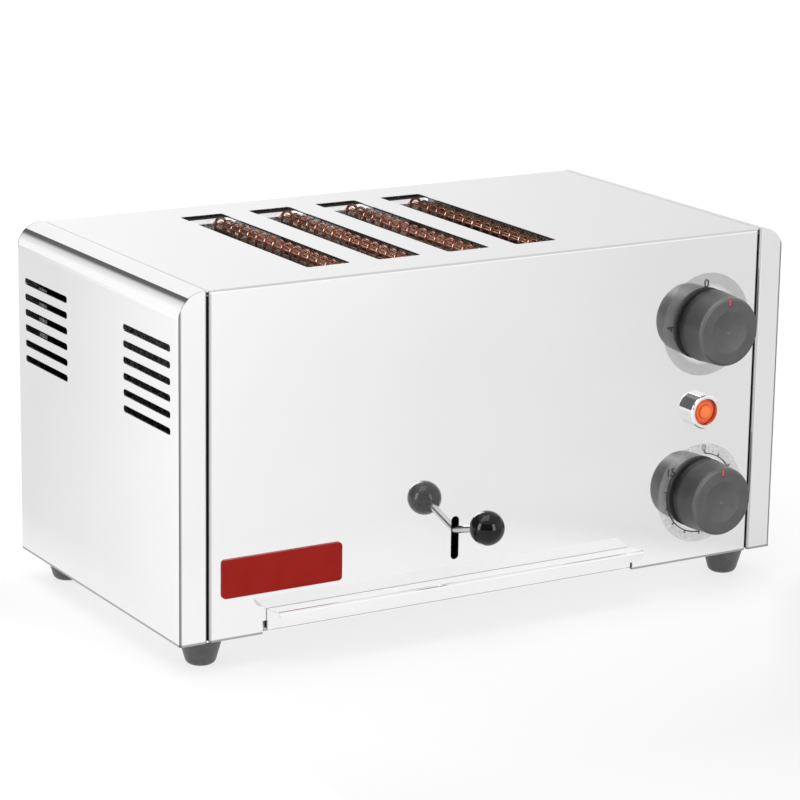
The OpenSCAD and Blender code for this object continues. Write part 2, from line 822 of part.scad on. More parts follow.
module control_shaft() {
    translate([0, 0, -sheet_t - shaft_in_body])
        cylinder(d = shaft_d, h = sheet_t + shaft_in_body + knob_gap / 2);
    linear_extrude(knob_gap + shaft_in_knob - run_gap) flatted(shaft_d);
}

module selector_knob() {
    color("darkslategray") on_front(control_x, selector_h) knob();
}

module selector_shaft() {
    color("silver") on_front(control_x, selector_h) control_shaft();
}

module timer_knob() {
    color("darkslategray") on_front(control_x, timer_h) knob();
}

module timer_shaft() {
    color("silver") on_front(control_x, timer_h) control_shaft();
}

module shaft_bore() {
    translate([0, 0, -sheet_t - shaft_in_body - over])
        cylinder(d = shaft_d + 2 * run_gap, h = shaft_in_body + 2 * over);
}

// Cam switch: a mounting plate, wafers between thinner necks, and its terminals
module selector_switch() {
    step = (switch_d - switch_plate) / wafer_n;
    wafer_w = switch_w - 2 * wafer_in;
    color("dimgray") on_front(control_x, selector_h) difference() {
        union() {
            translate([0, 0, -sheet_t - switch_plate]) linear_extrude(switch_plate)
                round_rect(switch_w, switch_w, switch_r);
            for (k = [1:wafer_n]) translate([0, 0, -sheet_t - switch_plate - k * step]) {
                linear_extrude(step - wafer_gap) round_rect(wafer_w, wafer_w, wafer_r);
                cylinder(d = switch_w - 2 * neck_in, h = step);
                for (s = [-1, 1]) translate([0, s * wafer_w / 2, (step - wafer_gap) / 2])
                    cube([blade_w, blade_l, blade_t], center = true);
            }
        }
        shaft_bore();
    }
}

// Clockwork timer: a mounting plate, a case with rounded corners and a spring barrel behind it
module timer_body() {
    color("lightgray") on_front(control_x, timer_h) difference() {
        union() {
            translate([0, 0, -sheet_t - timer_plate]) linear_extrude(timer_plate)
                round_rect(timer_w, timer_tall + 2 * timer_ear, timer_r);
            translate([0, 0, -sheet_t - timer_d]) linear_extrude(timer_d)
                round_rect(timer_w - 2 * timer_in, timer_tall - 2 * timer_in, timer_r);
            translate([0, 0, -sheet_t - timer_d - barrel_l])
                cylinder(d = timer_tall / 2, h = barrel_l + over);
        }
        shaft_bore();
    }
}

module lamp_bezel() {
    face_in = bezel_d / 2 - bezel_face;
    color("white") on_front(lamp_x, lamp_h) rotate_extrude() difference() {
        drafted_half(bezel_d / 2, bezel_out, bezel_rim, 0);
        translate([-over, lens_seat]) square([face_in + over, bezel_out]);
        translate([-over, -over]) square([lamp_d / 2 + lens_gap + over, bezel_out]);
    }
}

// Amber lens with two raised steps
module lamp_lens() {
    lens_r = bezel_d / 2 - bezel_face - lens_gap;
    rise = bezel_out - lens_seat;
    color("darkorange") on_front(lamp_x, lamp_h) translate([0, 0, lens_seat]) rotate_extrude() {
        drafted_half(lens_r, 0.5 * rise, lens_rim, 0);
        drafted_half(0.75 * lens_r, 0.75 * rise, lens_rim, 0);
        drafted_half(0.5 * lens_r, 0.95 * rise, lens_rim, 0);
    }
}

module lamp_body() {
    color("ivory") on_front(lamp_x, lamp_h) {
        translate([0, 0, -sheet_t - lamp_l]) cylinder(d = lamp_d, h = lamp_l + sheet_t + lens_seat);
        translate([0, 0, -sheet_t - lamp_collar]) cylinder(d = lamp_d + 2 * lamp_collar, h = lamp_collar);
        for (s = [-1, 1]) translate([s * lamp_d / 4, 0, -sheet_t - lamp_l - blade_l / 2])
            cube([blade_t, blade_w, blade_l + 2 * over], center = true);
    }
}

// Lever

module lever_rod() {
    color("silver") on_lever() translate([0, rod_seat - hub_d / 2, 0]) rotate([90, 0, 0])
        cylinder(d = rod_d, h = ball_l + rod_seat - hub_d / 2 + over);
}

module lever_ball() {
    mouth = sqrt(pow(ball_d / 2, 2) - pow(rod_d, 2));
    color("black") on_lever() translate([0, -ball_l, 0]) difference() {
        sphere(d = ball_d, $fn = 96);
        translate([0, ball_d + mouth, 0]) cube(2 * ball_d, center = true);
        translate([0, -over - run_gap, 0]) rotate([-90, 0, 0]) cylinder(d = rod_d + 2 * run_gap, h = ball_d);
    }
}

module lever_arm() {
    color("silver") on_lever() difference() {
        union() {
            pin_x(hub_d, hub_l);
            translate([-arm_t / 2, 0, -arm_h / 2]) cube([arm_t, arm_l, arm_h]);
            translate([0, arm_l, 0]) pin_x(arm_h, arm_t);
        }
        pin_x(pin_d + 2 * run_gap, hub_l + 2 * over);
        translate([0, arm_l, 0]) pin_x(pin_d, arm_t + 2 * over);
        translate([0, rod_seat - hub_d / 2, 0]) rotate([90, 0, 0])
            cylinder(d = rod_d + 2 * run_gap, h = hub_d);
    }
}

module lever_drive_pin() {
    color("silver") on_lever() translate([0, arm_l, 0]) pin_x(pin_d, 2 * lug_x + plate_t + 2 * over);
}

// Bracket on the chamber's front wall: two ears joined above and below the lever
module lever_bracket() {
    ear_r = hub_d / 2;
    reach = pivot_y - chamber_y0;
    color("silver") translate([lever_x, 0, pivot_z]) difference() {
        union() {
            for (s = [-1, 1]) translate([s * ear_x, 0, 0]) {
                translate([0, pivot_y, 0]) pin_x(2 * ear_r, plate_t);
                translate([-plate_t / 2, chamber_y0, -ear_r]) cube([plate_t, reach, 2 * ear_r]);
            }
            translate([-ear_x - plate_t / 2, chamber_y0, -wall_slot_h / 2 - bracket_lap])
                cube([2 * ear_x + plate_t, bracket_t, wall_slot_h + 2 * bracket_lap]);
        }
        translate([0, chamber_y0, 0]) cube([wall_slot_w, 2 * bracket_t + over, wall_slot_h], center = true);
        translate([0, pivot_y, 0]) pin_x(pin_d, 4 * ear_x);
    }
}

module lever_pivot_pin() {
    color("silver") translate([lever_x, pivot_y, pivot_z]) pin_x(pin_d, 2 * ear_x + plate_t + 2 * over);
}

// Bread lift

module at_guides() {
    for (s = [-1, 1]) translate([chamber_x + s * guide_x, bar_y, 0]) children();
}

module lift_bar() {
    lug_r = pin_slot_h / 2 + plate_t;
    lug_l = pin_slot_h + pin_shift + 2 * plate_t;
    lug_y = bar_y + pin_shift / 2 - lug_l / 2;
    color("silver") difference() {
        union() {
            translate([chamber_x - guide_x, bar_y - bar_t / 2, bar_z0]) cube([2 * guide_x, bar_t, bar_h]);
            at_guides() translate([0, 0, bar_z0]) cylinder(r = eye_r, h = bar_h);
            for (s = [-1, 1]) translate([lever_x + s * lug_x - plate_t / 2, lug_y, pin_z - lug_r])
                cube([plate_t, lug_l, bar_up + lug_r + plate_t]);
        }
        at_guides() translate([0, 0, bar_z0 - over]) cylinder(r = bush_r, h = bar_h + 2 * over);
        translate([lever_x, bar_y + pin_shift / 2, pin_z]) rotate([90, 0, 0]) rotate([0, 90, 0])
            linear_extrude(4 * lug_x, center = true) rotate(90) obround(pin_slot_h, pin_slot_h + pin_shift);
    }
}

module lift_bushes() {
    color("goldenrod") at_guides() translate([0, 0, bar_mid - bush_h / 2]) difference() {
        union() {
            cylinder(r = bush_r, h = bush_h);
            cylinder(r = bush_r + eye_wall / 2, h = (bush_h - bar_h) / 2);
        }
        translate([0, 0, -over]) cylinder(d = guide_d + 2 * run_gap, h = bush_h + 2 * over);
    }
}

// Guide rods run between the two lugs of each end wall's bracket
guide_low = bar_mid - bush_h / 2 - guide_end;
guide_top = bar_mid + bush_h / 2 + lift_rise + guide_end;

module guide_rods() {
    color("silver") at_guides() translate([0, 0, guide_low - plate_t])
        cylinder(d = guide_d, h = guide_top - guide_low + 2 * plate_t);
}

module guide_brackets() {
    color("silver") for (s = [0, 1]) translate([chamber_x, bar_y, 0]) mirror([s, 0, 0]) {
        guide_lug(guide_top, lug_back);
        translate([0, 0, guide_low]) mirror([0, 0, 1]) guide_lug(0, plate_t);
    }
}

// Angle on an end wall's outer face; its leg at height z holds a guide rod
module guide_lug(z, back_h) {
    wall = chamber_half + wall_t;
    half_w = guide_d / 2 + lug_side;
    translate([0, 0, z]) difference() {
        union() {
            translate([wall, -half_w, 0]) cube([guide_out, 2 * half_w, plate_t]);
            translate([guide_x, 0, 0]) cylinder(r = half_w, h = plate_t);
            translate([wall, -half_w, 0]) cube([plate_t, 2 * half_w, back_h]);
        }
        translate([guide_x, 0, -over]) cylinder(d = guide_d, h = plate_t + 2 * over);
    }
}

// Bread rest: a channel with crumb holes on a web that widens from the lift bar
module bread_rest(i) {
    top = base_z + bread_low;
    y0 = mid_y - rest_l / 2;
    hole_w = rest_w / 3;
    hole_l = 0.6 * rest_l / rest_holes;
    free_l = rest_free * rest_l;
    color("silver") translate([slot_x(i), 0, 0]) {
        difference() {
            translate([-rest_w / 2, y0, top - rest_h]) cube([rest_w, rest_l, rest_h]);
            translate([-rest_w / 2 + rest_t, y0 - over, top - rest_h - over])
                cube([rest_w - 2 * rest_t, rest_l + 2 * over, rest_h - rest_t + over]);
            for (s = [-1, 1], k = [0:rest_holes - 1])
                translate([s * rest_w / 5, y0 + (k + 0.5) * rest_l / rest_holes, top - rest_t - over])
                    linear_extrude(rest_t + 2 * over) obround(hole_w / 2, hole_l);
        }
        along_x(rest_t) polygon([
            [bar_y - bar_t * 2, bar_z1], [bar_y + bar_t * 2, bar_z1], [y0 + rest_l - free_l, top - rest_h],
            [y0 + rest_l - free_l, top - rest_t / 2], [y0 + free_l, top - rest_t / 2],
            [y0 + free_l, top - rest_h]]);
    }
}

// Crumb tray

// Side view of the front plate and lip, folded from one strip; 0 is the panel's outer face
module tray_front_outline() {
    y0 = -face_gap;
    y1 = y0 - lip_out;
    t = tray_t;
    low = base_z + plate_low;
    back_top = base_z + plate_top;
    top = back_top + lip_rise;
    slope = atan(lip_rise / lip_out);
    fold = bend_r + t;
    middle = [y1 + fold, top - fold * tan(slope) - fold / cos(slope)];
    intersection() {
        polygon([
            [y0, low], [y0, back_top], [y1, top], [y1, top - lip_down], [y1 + t, top - lip_down],
            [y1 + t, top - t], [y0 - t, back_top - t], [y0 - t, low]]);
        union() {
            translate(middle) circle(fold);
            translate([y1, low]) square([lip_out, middle[1] - low]);
            translate(middle) rotate(-slope) translate([0, -2 * lip_out])
                square([2 * lip_out, 2 * lip_out + fold + over]);
        }
    }
}

module crumb_tray() {
    lip_z = base_z + plate_top + lip_rise - lip_down;
    color("gainsboro") translate([tray_x, 0, 0]) {
        difference() {
            translate([0, front_y, 0]) along_x(tray_w) tray_front_outline();
            for (s = [0, 1]) mirror([s, 0, 0])
                translate([tray_w / 2 - lip_r, front_y - face_gap - lip_out - over, lip_z + lip_r])
                    rotate([-90, 0, 0]) linear_extrude(tray_t + over + bend_r) corner_waste(lip_r);
        }
        difference() {
            translate([-pan_x, front_y - face_gap - tray_t / 2, pan_z])
                cube([2 * pan_x, tray_l + face_gap + tray_t / 2, pan_h]);
            translate([-pan_x + tray_t, front_y - face_gap, pan_z + tray_t])
                cube([2 * (pan_x - tray_t), tray_l + face_gap - tray_t, pan_h]);
        }
    }
}

module tray_runners() {
    y0 = front_y + 3 * sheet_t;
    length = tray_l - 3 * sheet_t;
    leg_x = pan_x + runner_gap + runner_t - runner_w;
    color("silver") translate([tray_x, y0, 0]) for (s = [0, 1]) mirror([s, 0, 0]) {
        translate([pan_x + runner_gap, 0, floor_z]) cube([runner_t, length, runner_z - floor_z]);
        for (z = [floor_z, runner_z - runner_t]) translate([leg_x, 0, z]) cube([runner_w, length, runner_t]);
    }
}

// Bread chamber

// Openings that a front or rear wall has for the guards' rods and the cards' tabs
module wall_openings(y) {
    for (i = [1:5]) translate([element_x(i), y, 0]) {
        for (s = [-1, 1], z = rod_zs) translate([s * rod_x, 0, z]) rotate([90, 0, 0])
            cylinder(d = wire_d + 2 * tab_gap, h = wall_t + 2 * over, center = true);
        for (z = tab_zs) translate([0, 0, z])
            cube([card_t + 2 * tab_gap, wall_t + 2 * over, tab_h + 2 * tab_gap], center = true);
    }
}

wall_x0 = tray_x - notch_x - leg_w;
wall_w = 2 * (notch_x + leg_w);

module chamber_front_wall() {
    y0 = chamber_y0 - wall_t;
    color("darkgray") difference() {
        union() {
            translate([wall_x0, y0, floor_z]) cube([wall_w, wall_t, wall_top - floor_z]);
            translate([wall_x0, chamber_y0 - wall_fold, wall_top - wall_t]) cube([wall_w, wall_fold, wall_t]);
        }
        translate([tray_x - notch_x, y0 - over, base_z])
            cube([2 * notch_x, wall_t + 2 * over, clear_z - base_z]);
        translate([lever_x, y0, pivot_z]) cube([wall_slot_w, 2 * wall_t + over, wall_slot_h], center = true);
        wall_openings(chamber_y0 - wall_t / 2);
    }
}

// Its upper edge leans back, away from the bread
module chamber_rear_wall() {
    lean_top = top_z - rear_drop;
    lean_low = lean_top - lean_h;
    lean_out = lean_h * tan(lean_tilt);
    color("darkgray") difference() {
        translate([tray_x, chamber_y1, 0]) along_x(wall_w) polygon([
            [0, floor_z], [0, lean_low], [lean_out, lean_top], [lean_out + wall_t, lean_top],
            [wall_t, lean_low], [wall_t, floor_z]]);
        wall_openings(chamber_y1 + wall_t / 2);
    }
}

// Plate between the front and rear walls, slotted for the lift bar
module end_wall() {
    color("darkgray") translate([chamber_x, 0, 0]) difference() {
        translate([chamber_half, chamber_y0, clear_z]) cube([wall_t, chamber_l, wall_top - clear_z]);
        translate([chamber_half - over, bar_y - bar_t / 2 - bar_gap, bar_z0 - bar_gap])
            cube([wall_t + 2 * over, bar_t + 2 * bar_gap, bar_h + lift_rise + 2 * bar_gap]);
    }
}

module chamber_right_wall() {
    end_wall();
}

module chamber_left_wall() {
    translate([2 * chamber_x, 0, 0]) mirror([1, 0, 0]) end_wall();
}

// Heating elements

ribbon_z0 = card_z0 + tab_in + tab_h;
ribbon_z1 = card_z1 - tab_in - tab_h;
ribbon_zs = [for (k = [0:ribbon_n]) ribbon_z0 + k * (ribbon_z1 - ribbon_z0) / ribbon_n];
card_y0 = chamber_y0 + card_gap;
card_y1 = chamber_y1 - card_gap;
ribbon_y0 = card_y0 + notch_in;
ribbon_y1 = card_y1 - notch_in;

module element_card(i) {
    front_tab = wall_t + bus_out + card_gap;
    rear_tab = 2 * wall_t + card_gap;
    color("ivory") translate([element_x(i) - card_t / 2, 0, 0]) difference() {
        union() {
            translate([0, card_y0, card_z0]) cube([card_t, card_y1 - card_y0, card_z1 - card_z0]);
            for (z = tab_zs) translate([0, card_y0 - front_tab, z - tab_h / 2])
                cube([card_t, card_y1 - card_y0 + front_tab + rear_tab, tab_h]);
        }
        for (z = ribbon_zs) {
            translate([-over, card_y0 - over, z - ribbon_w / 2 - tab_gap])
                cube([card_t + 2 * over, notch_in + over, ribbon_w + 2 * tab_gap]);
            translate([-over, ribbon_y1, z - ribbon_w / 2 - tab_gap])
                cube([card_t + 2 * over, notch_in + over, ribbon_w + 2 * tab_gap]);
        }
    }
}

// One ribbon: level runs on one face of the card, sloping runs on the other, joined round its ends
module element_ribbon(i) {
    out = card_t / 2;
    length = ribbon_y1 - ribbon_y0;
    step = ribbon_zs[1] - ribbon_zs[0];
    slope = atan(step / length);
    color("darkgoldenrod") translate([element_x(i), 0, 0]) {
        for (k = [0:ribbon_n]) translate([out, ribbon_y0 - ribbon_t, ribbon_zs[k] - ribbon_w / 2])
            cube([ribbon_t, length + 2 * ribbon_t, ribbon_w]);
        for (k = [0:ribbon_n - 1])
            translate([-out - ribbon_t / 2, (ribbon_y0 + ribbon_y1) / 2, ribbon_zs[k] + step / 2])
                rotate([slope, 0, 0])
                    cube([ribbon_t, length / cos(slope) + ribbon_t, ribbon_w], center = true);
        for (k = [0:ribbon_n - 1])
            translate([-out - ribbon_t, ribbon_y0 - ribbon_t, ribbon_zs[k] - ribbon_w / 2])
                cube([card_t + 2 * ribbon_t, ribbon_t, ribbon_w]);
        for (k = [1:ribbon_n]) translate([-out - ribbon_t, ribbon_y1, ribbon_zs[k] - ribbon_w / 2])
            cube([card_t + 2 * ribbon_t, ribbon_t, ribbon_w]);
    }
}

// Bar across the front ends of the cards' tabs, reaching past the chamber towards the controls
module bus_bar(z) {
    x0 = element_x(1) - bus_h;
    x1 = chamber_x + chamber_half + 2 * bus_h;
    color("peru") translate([x0, bus_y, z - bus_h / 2]) cube([x1 - x0, bus_t, bus_h]);
}

module lower_bus_bar() {
    bus_bar(tab_zs[0]);
}

module upper_bus_bar() {
    bus_bar(tab_zs[1]);
}

// Wire guards

// Hairpin wire that stands over an element, with its bend at the upper rods' height
module hairpin() {
    leg = top_z - rod_drop - base_z - guard_low;
    for (s = [-1, 1]) translate([s * hoop_r, 0, -leg]) cylinder(d = wire_d, h = leg);
    rotate([90, 0, 0]) rotate_extrude(angle = 180) translate([hoop_r, 0]) circle(d = wire_d);
}

module element_guard(i) {
    first_y = (chamber_y0 + chamber_y1 - (hoop_n - 1) * hoop_pitch) / 2;
    color("sienna") translate([element_x(i), 0, 0]) {
        for (k = [0:hoop_n - 1]) translate([0, first_y + k * hoop_pitch, top_z - rod_drop]) hairpin();
        for (s = [-1, 1], z = rod_zs) translate([s * rod_x, chamber_y0 - wall_t - over, z])
            rotate([-90, 0, 0]) cylinder(d = wire_d, h = chamber_l + 2 * (wall_t + over));
    }
}

folded_casing();
left_end_cheek();
right_end_cheek();
base_plate();
rubber_feet();
foot_nuts();
cheek_screws();
badge_plate();
cord_gland();
gland_nut();
terminal_block();
selector_scale();
timer_scale();
selector_switch();
timer_body();
lamp_bezel();
lamp_lens();
lamp_body();
selector_knob();
selector_shaft();
timer_knob();
timer_shaft();
lever_rod();
lever_ball();
lever_arm();
lever_drive_pin();
lever_bracket();
lever_pivot_pin();
lift_bar();
lift_bushes();
guide_rods();
guide_brackets();
crumb_tray();
tray_runners();
chamber_front_wall();
chamber_rear_wall();
chamber_left_wall();
chamber_right_wall();
upper_bus_bar();
lower_bus_bar();
for (i = [1:4]) bread_rest(i);
for (i = [1:5]) element_card(i);
for (i = [1:5]) element_ribbon(i);
for (i = [1:5]) element_guard(i);
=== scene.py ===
import math

import bmesh
import bpy
from mathutils import Matrix, Quaternion, Vector


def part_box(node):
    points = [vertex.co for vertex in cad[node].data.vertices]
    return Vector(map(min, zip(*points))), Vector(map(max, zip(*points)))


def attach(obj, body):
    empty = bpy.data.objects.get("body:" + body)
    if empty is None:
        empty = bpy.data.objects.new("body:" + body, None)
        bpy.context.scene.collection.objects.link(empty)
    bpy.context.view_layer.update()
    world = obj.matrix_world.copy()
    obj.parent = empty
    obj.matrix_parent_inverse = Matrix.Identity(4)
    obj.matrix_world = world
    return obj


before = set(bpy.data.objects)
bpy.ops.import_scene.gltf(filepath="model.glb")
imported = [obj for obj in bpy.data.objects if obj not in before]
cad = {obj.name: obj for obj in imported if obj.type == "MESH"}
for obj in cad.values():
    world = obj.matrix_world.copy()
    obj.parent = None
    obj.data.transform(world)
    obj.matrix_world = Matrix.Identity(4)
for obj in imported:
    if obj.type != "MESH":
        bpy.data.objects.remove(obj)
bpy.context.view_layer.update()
scene = bpy.context.scene
mm = 0.001
print("frame loaded with", len(cad), "nodes")


# camera at the photograph's viewpoint
photoView = {
    "eye": (-0.87622, -1.44706, 0.54692),  # metres, in the part's frame
    "heading": 30.946,  # degrees right of +Y
    "drop": 14.685,  # degrees below the horizon
    "roll": 0.877,  # degrees
    "lens": 143.78,  # mm, on the sensor below
    "sensorWidth": 36.0,  # mm
    "clipStart": 0.05,  # metres
}


def addCamera():
    heading = math.radians(photoView["heading"])
    drop = math.radians(photoView["drop"])
    level = math.cos(drop)
    ahead = Vector((math.sin(heading) * level, math.cos(heading) * level, -math.sin(drop)))
    data = bpy.data.cameras.new("photo_camera")
    data.lens = photoView["lens"]
    data.sensor_width = photoView["sensorWidth"]
    data.clip_start = photoView["clipStart"]
    camera = bpy.data.objects.new("photo_camera", data)
    camera.rotation_mode = "QUATERNION"
    camera.location = photoView["eye"]
    roll = Quaternion((0, 0, 1), math.radians(photoView["roll"]))
    camera.rotation_quaternion = ahead.to_track_quat("-Z", "Y") @ roll
    scene.collection.objects.link(camera)
    scene.camera = camera


addCamera()
print("camera placed")


# places on the part

def middle(name):
    low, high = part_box(name)
    return (low + high) / 2


# middle of a piece's front face, or of a plane some metres behind it
def frontCentre(name, behind=0.0):
    low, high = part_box(name)
    return Vector(((low.x + high.x) / 2, low.y + behind, (low.z + high.z) / 2))


# places that fall some millimetres short of an edge
def shortOf(edge, gaps):
    return [edge - gap * mm for gap in gaps]


# small helpers for node trees

def newMaterial(name):
    material = bpy.data.materials.new(name)
    material.use_nodes = True
    tree = material.node_tree
    return material, tree, tree.nodes["Principled BSDF"]


def addNode(tree, kind, **values):
    node = tree.nodes.new(kind)
    for key, value in values.items():
        if key in node.inputs:
            node.inputs[key].default_value = value
        else:
            setattr(node, key, value)
    return node


def partCoords(tree, stretch=(1, 1, 1), shift=(0, 0, 0)):
    coords = addNode(tree, "ShaderNodeTexCoord")
    mapping = addNode(tree, "ShaderNodeMapping", Scale=stretch, Location=shift)
    tree.links.new(coords.outputs["Object"], mapping.inputs["Vector"])
    return mapping.outputs["Vector"]


def xyzOf(tree, point):
    node = addNode(tree, "ShaderNodeSeparateXYZ")
    tree.links.new(point, node.inputs["Vector"])
    return [node.outputs[axis] for axis in "XYZ"]


def noiseAt(tree, vector, scale, detail=3.0, rough=0.55):
    node = addNode(tree, "ShaderNodeTexNoise", Scale=scale, Detail=detail, Roughness=rough)
    tree.links.new(vector, node.inputs["Vector"])
    return node.outputs["Fac"]


def ramp(tree, source, stops):
    node = addNode(tree, "ShaderNodeValToRGB")
    marks = node.color_ramp.elements
    while len(marks) < len(stops):
        marks.new(0.5)  # moved to its place below
    for mark, (place, colour) in zip(marks, stops):
        mark.position = place
        mark.color = (*colour, 1.0)
    tree.links.new(source, node.inputs["Fac"])
    return node.outputs["Color"]


def greys(stops):
    return [(place, (tone,) * 3) for place, tone in stops]


# maps a value from one range to another; noise lies mostly between the limits given here
def span(tree, source, low, high, fromLow=0.3, fromHigh=0.7):
    node = addNode(tree, "ShaderNodeMapRange")
    for place, value in zip(("From Min", "From Max", "To Min", "To Max"), (fromLow, fromHigh, low, high)):
        node.inputs[place].default_value = value
    tree.links.new(source, node.inputs["Value"])
    return node.outputs["Result"]


# 0 up to the first place and 1 from the second on
def rises(tree, source, first, second):
    return span(tree, source, 0, 1, first, second)


def falls(tree, source, first, second):
    return span(tree, source, 1, 0, first, second)


def combine(tree, operation, first, second):
    node = addNode(tree, "ShaderNodeMath", operation=operation)
    tree.links.new(first, node.inputs[0])
    tree.links.new(second, node.inputs[1])
    return node.outputs["Value"]


def times(tree, first, second):
    return combine(tree, "MULTIPLY", first, second)


def larger(tree, first, second):
    return combine(tree, "MAXIMUM", first, second)


def absolute(tree, source):
    node = addNode(tree, "ShaderNodeMath", operation="ABSOLUTE")
    tree.links.new(source, node.inputs[0])
    return node.outputs["Value"]


mixSockets = {"FLOAT": (2, 3, 0), "RGBA": (6, 7, 2)}  # first, second and result, whose names repeat


# first value, replaced by a second one or by a constant as far as the share says
def blend(tree, first, second, share):
    node = addNode(tree, "ShaderNodeMix", data_type="FLOAT")
    firstIn, secondIn, result = mixSockets["FLOAT"]
    tree.links.new(share, node.inputs[0])
    tree.links.new(first, node.inputs[firstIn])
    if isinstance(second, float):
        node.inputs[secondIn].default_value = second
    else:
        tree.links.new(second, node.inputs[secondIn])
    return node.outputs[result]


# 1 between two places along an axis, fading out past them
def withinSpan(tree, source, low, high, soft):
    rise = rises(tree, source, low - soft / 2, low + soft / 2)
    return times(tree, rise, falls(tree, source, high - soft / 2, high + soft / 2))


# how far a point lies along a direction
def along(tree, point, way):
    node = addNode(tree, "ShaderNodeVectorMath", operation="DOT_PRODUCT")
    tree.links.new(point, node.inputs[0])
    node.inputs[1].default_value = way
    return node.outputs["Value"]


# multiplies a finish's colour by a value that varies over the surface
def shadeBy(finish, share):
    tree = finish.node_tree
    colour = tree.nodes["Principled BSDF"].inputs["Base Color"]
    mix = addNode(tree, "ShaderNodeMix", data_type="RGBA", blend_type="MULTIPLY")
    firstIn, secondIn, result = mixSockets["RGBA"]
    mix.inputs[0].default_value = 1.0
    tree.links.new(colour.links[0].from_socket, mix.inputs[firstIn])
    tree.links.new(share, mix.inputs[secondIn])
    tree.links.new(mix.outputs[result], colour)


def bumpFrom(tree, shader, height, strength, depth):
    node = addNode(tree, "ShaderNodeBump", Strength=strength, Distance=depth * mm)
    tree.links.new(height, node.inputs["Height"])
    tree.links.new(node.outputs["Normal"], shader.inputs["Normal"])


def setSockets(shader, **values):
    for key, value in values.items():
        shader.inputs[key.replace("_", " ")].default_value = value


# a finish whose colour, roughness and grain vary gently over the surface
mottle = {"cloudDetail": 4.0, "grainDetail": 2.0, "spread": (0.32, 0.68)}  # noise where each tint is pure


def mottled(name, look):
    material, tree, shader = newMaterial(name)
    coords = partCoords(tree)
    cloud = noiseAt(tree, coords, look["patch"], mottle["cloudDetail"])
    tint = ramp(tree, cloud, list(zip(mottle["spread"], look["tints"])))
    tree.links.new(tint, shader.inputs["Base Color"])
    grain = noiseAt(tree, coords, look["grain"], mottle["grainDetail"])
    tree.links.new(span(tree, grain, *look["rough"]), shader.inputs["Roughness"])
    bumpFrom(tree, shader, grain, look["bump"], look["depth"])
    setSockets(shader, Metallic=look["metal"], **look.get("extra", {}))
    return material


# patch and grain are noise scales, depth is the grain's in mm
mottledLooks = {
    "polishedSteel": {
        "tints": ((0.855, 0.855, 0.858), (0.88, 0.88, 0.882)), "rough": (0.03, 0.05), "metal": 0.94,
        "patch": 9.0, "grain": 1400.0, "bump": 0.02, "depth": 0.02,
    },
    "turnedSteel": {
        "tints": ((0.58, 0.58, 0.59), (0.70, 0.70, 0.70)), "rough": (0.16, 0.28), "metal": 1.0,
        "patch": 60.0, "grain": 2500.0, "bump": 0.05, "depth": 0.03,
    },
    "plainSteel": {
        "tints": ((0.42, 0.42, 0.43), (0.56, 0.56, 0.57)), "rough": (0.28, 0.42), "metal": 1.0,
        "patch": 40.0, "grain": 1600.0, "bump": 0.08, "depth": 0.04,
    },
    "chromeRing": {
        "tints": ((0.84, 0.85, 0.86), (0.90, 0.90, 0.91)), "rough": (0.02, 0.05), "metal": 1.0,
        "patch": 120.0, "grain": 3000.0, "bump": 0.01, "depth": 0.01,
    },
    "redPlate": {
        "tints": ((0.245, 0.006, 0.003), (0.275, 0.008, 0.004)), "rough": (0.42, 0.5), "metal": 0.0,
        "patch": 70.0, "grain": 2600.0, "bump": 0.04, "depth": 0.02,
        "extra": {"Specular_IOR_Level": 0.1},
    },
    "knobPlastic": {
        "tints": ((0.058, 0.058, 0.059), (0.073, 0.073, 0.074)), "rough": (0.34, 0.44), "metal": 0.0,
        "patch": 160.0, "grain": 2600.0, "bump": 0.12, "depth": 0.05,
    },
    "ballPlastic": {
        "tints": ((0.003, 0.003, 0.003), (0.006, 0.006, 0.006)), "rough": (0.04, 0.08), "metal": 0.0,
        "patch": 140.0, "grain": 1800.0, "bump": 0.01, "depth": 0.01,
        "extra": {"Specular_IOR_Level": 0.26},
    },
    "footRubber": {
        "tints": ((0.048, 0.048, 0.05), (0.072, 0.072, 0.073)), "rough": (0.34, 0.48), "metal": 0.0,
        "patch": 220.0, "grain": 2200.0, "bump": 0.2, "depth": 0.06,
    },
    "blackPlastic": {
        "tints": ((0.020, 0.020, 0.021), (0.032, 0.032, 0.033)), "rough": (0.35, 0.5), "metal": 0.0,
        "patch": 130.0, "grain": 2400.0, "bump": 0.1, "depth": 0.04,
    },
    "paleInsulator": {
        "tints": ((0.62, 0.58, 0.49), (0.74, 0.70, 0.61)), "rough": (0.45, 0.6), "metal": 0.0,
        "patch": 120.0, "grain": 1800.0, "bump": 0.1, "depth": 0.05,
    },
    "guardWire": {
        "tints": ((0.55, 0.24, 0.17), (0.97, 0.62, 0.50)), "rough": (0.2, 0.3), "metal": 1.0,
        "patch": 190.0, "grain": 2400.0, "bump": 0.08, "depth": 0.03,
    },
    "heatingRibbon": {
        "tints": ((0.14, 0.09, 0.07), (0.24, 0.15, 0.11)), "rough": (0.4, 0.55), "metal": 1.0,
        "patch": 220.0, "grain": 2000.0, "bump": 0.1, "depth": 0.03,
    },
    "busBrass": {
        "tints": ((0.55, 0.38, 0.16), (0.70, 0.50, 0.24)), "rough": (0.25, 0.4), "metal": 1.0,
        "patch": 60.0, "grain": 1800.0, "bump": 0.06, "depth": 0.03,
    },
    "pointerRed": {
        "tints": ((0.55, 0.035, 0.045), (0.68, 0.06, 0.07)), "rough": (0.4, 0.5), "metal": 0.0,
        "patch": 900.0, "grain": 3000.0, "bump": 0.08, "depth": 0.02,
    },
    "dialInk": {
        "tints": ((0.012, 0.012, 0.012), (0.03, 0.03, 0.03)), "rough": (0.45, 0.6), "metal": 0.0,
        "patch": 700.0, "grain": 3200.0, "bump": 0.05, "depth": 0.01,
    },
}


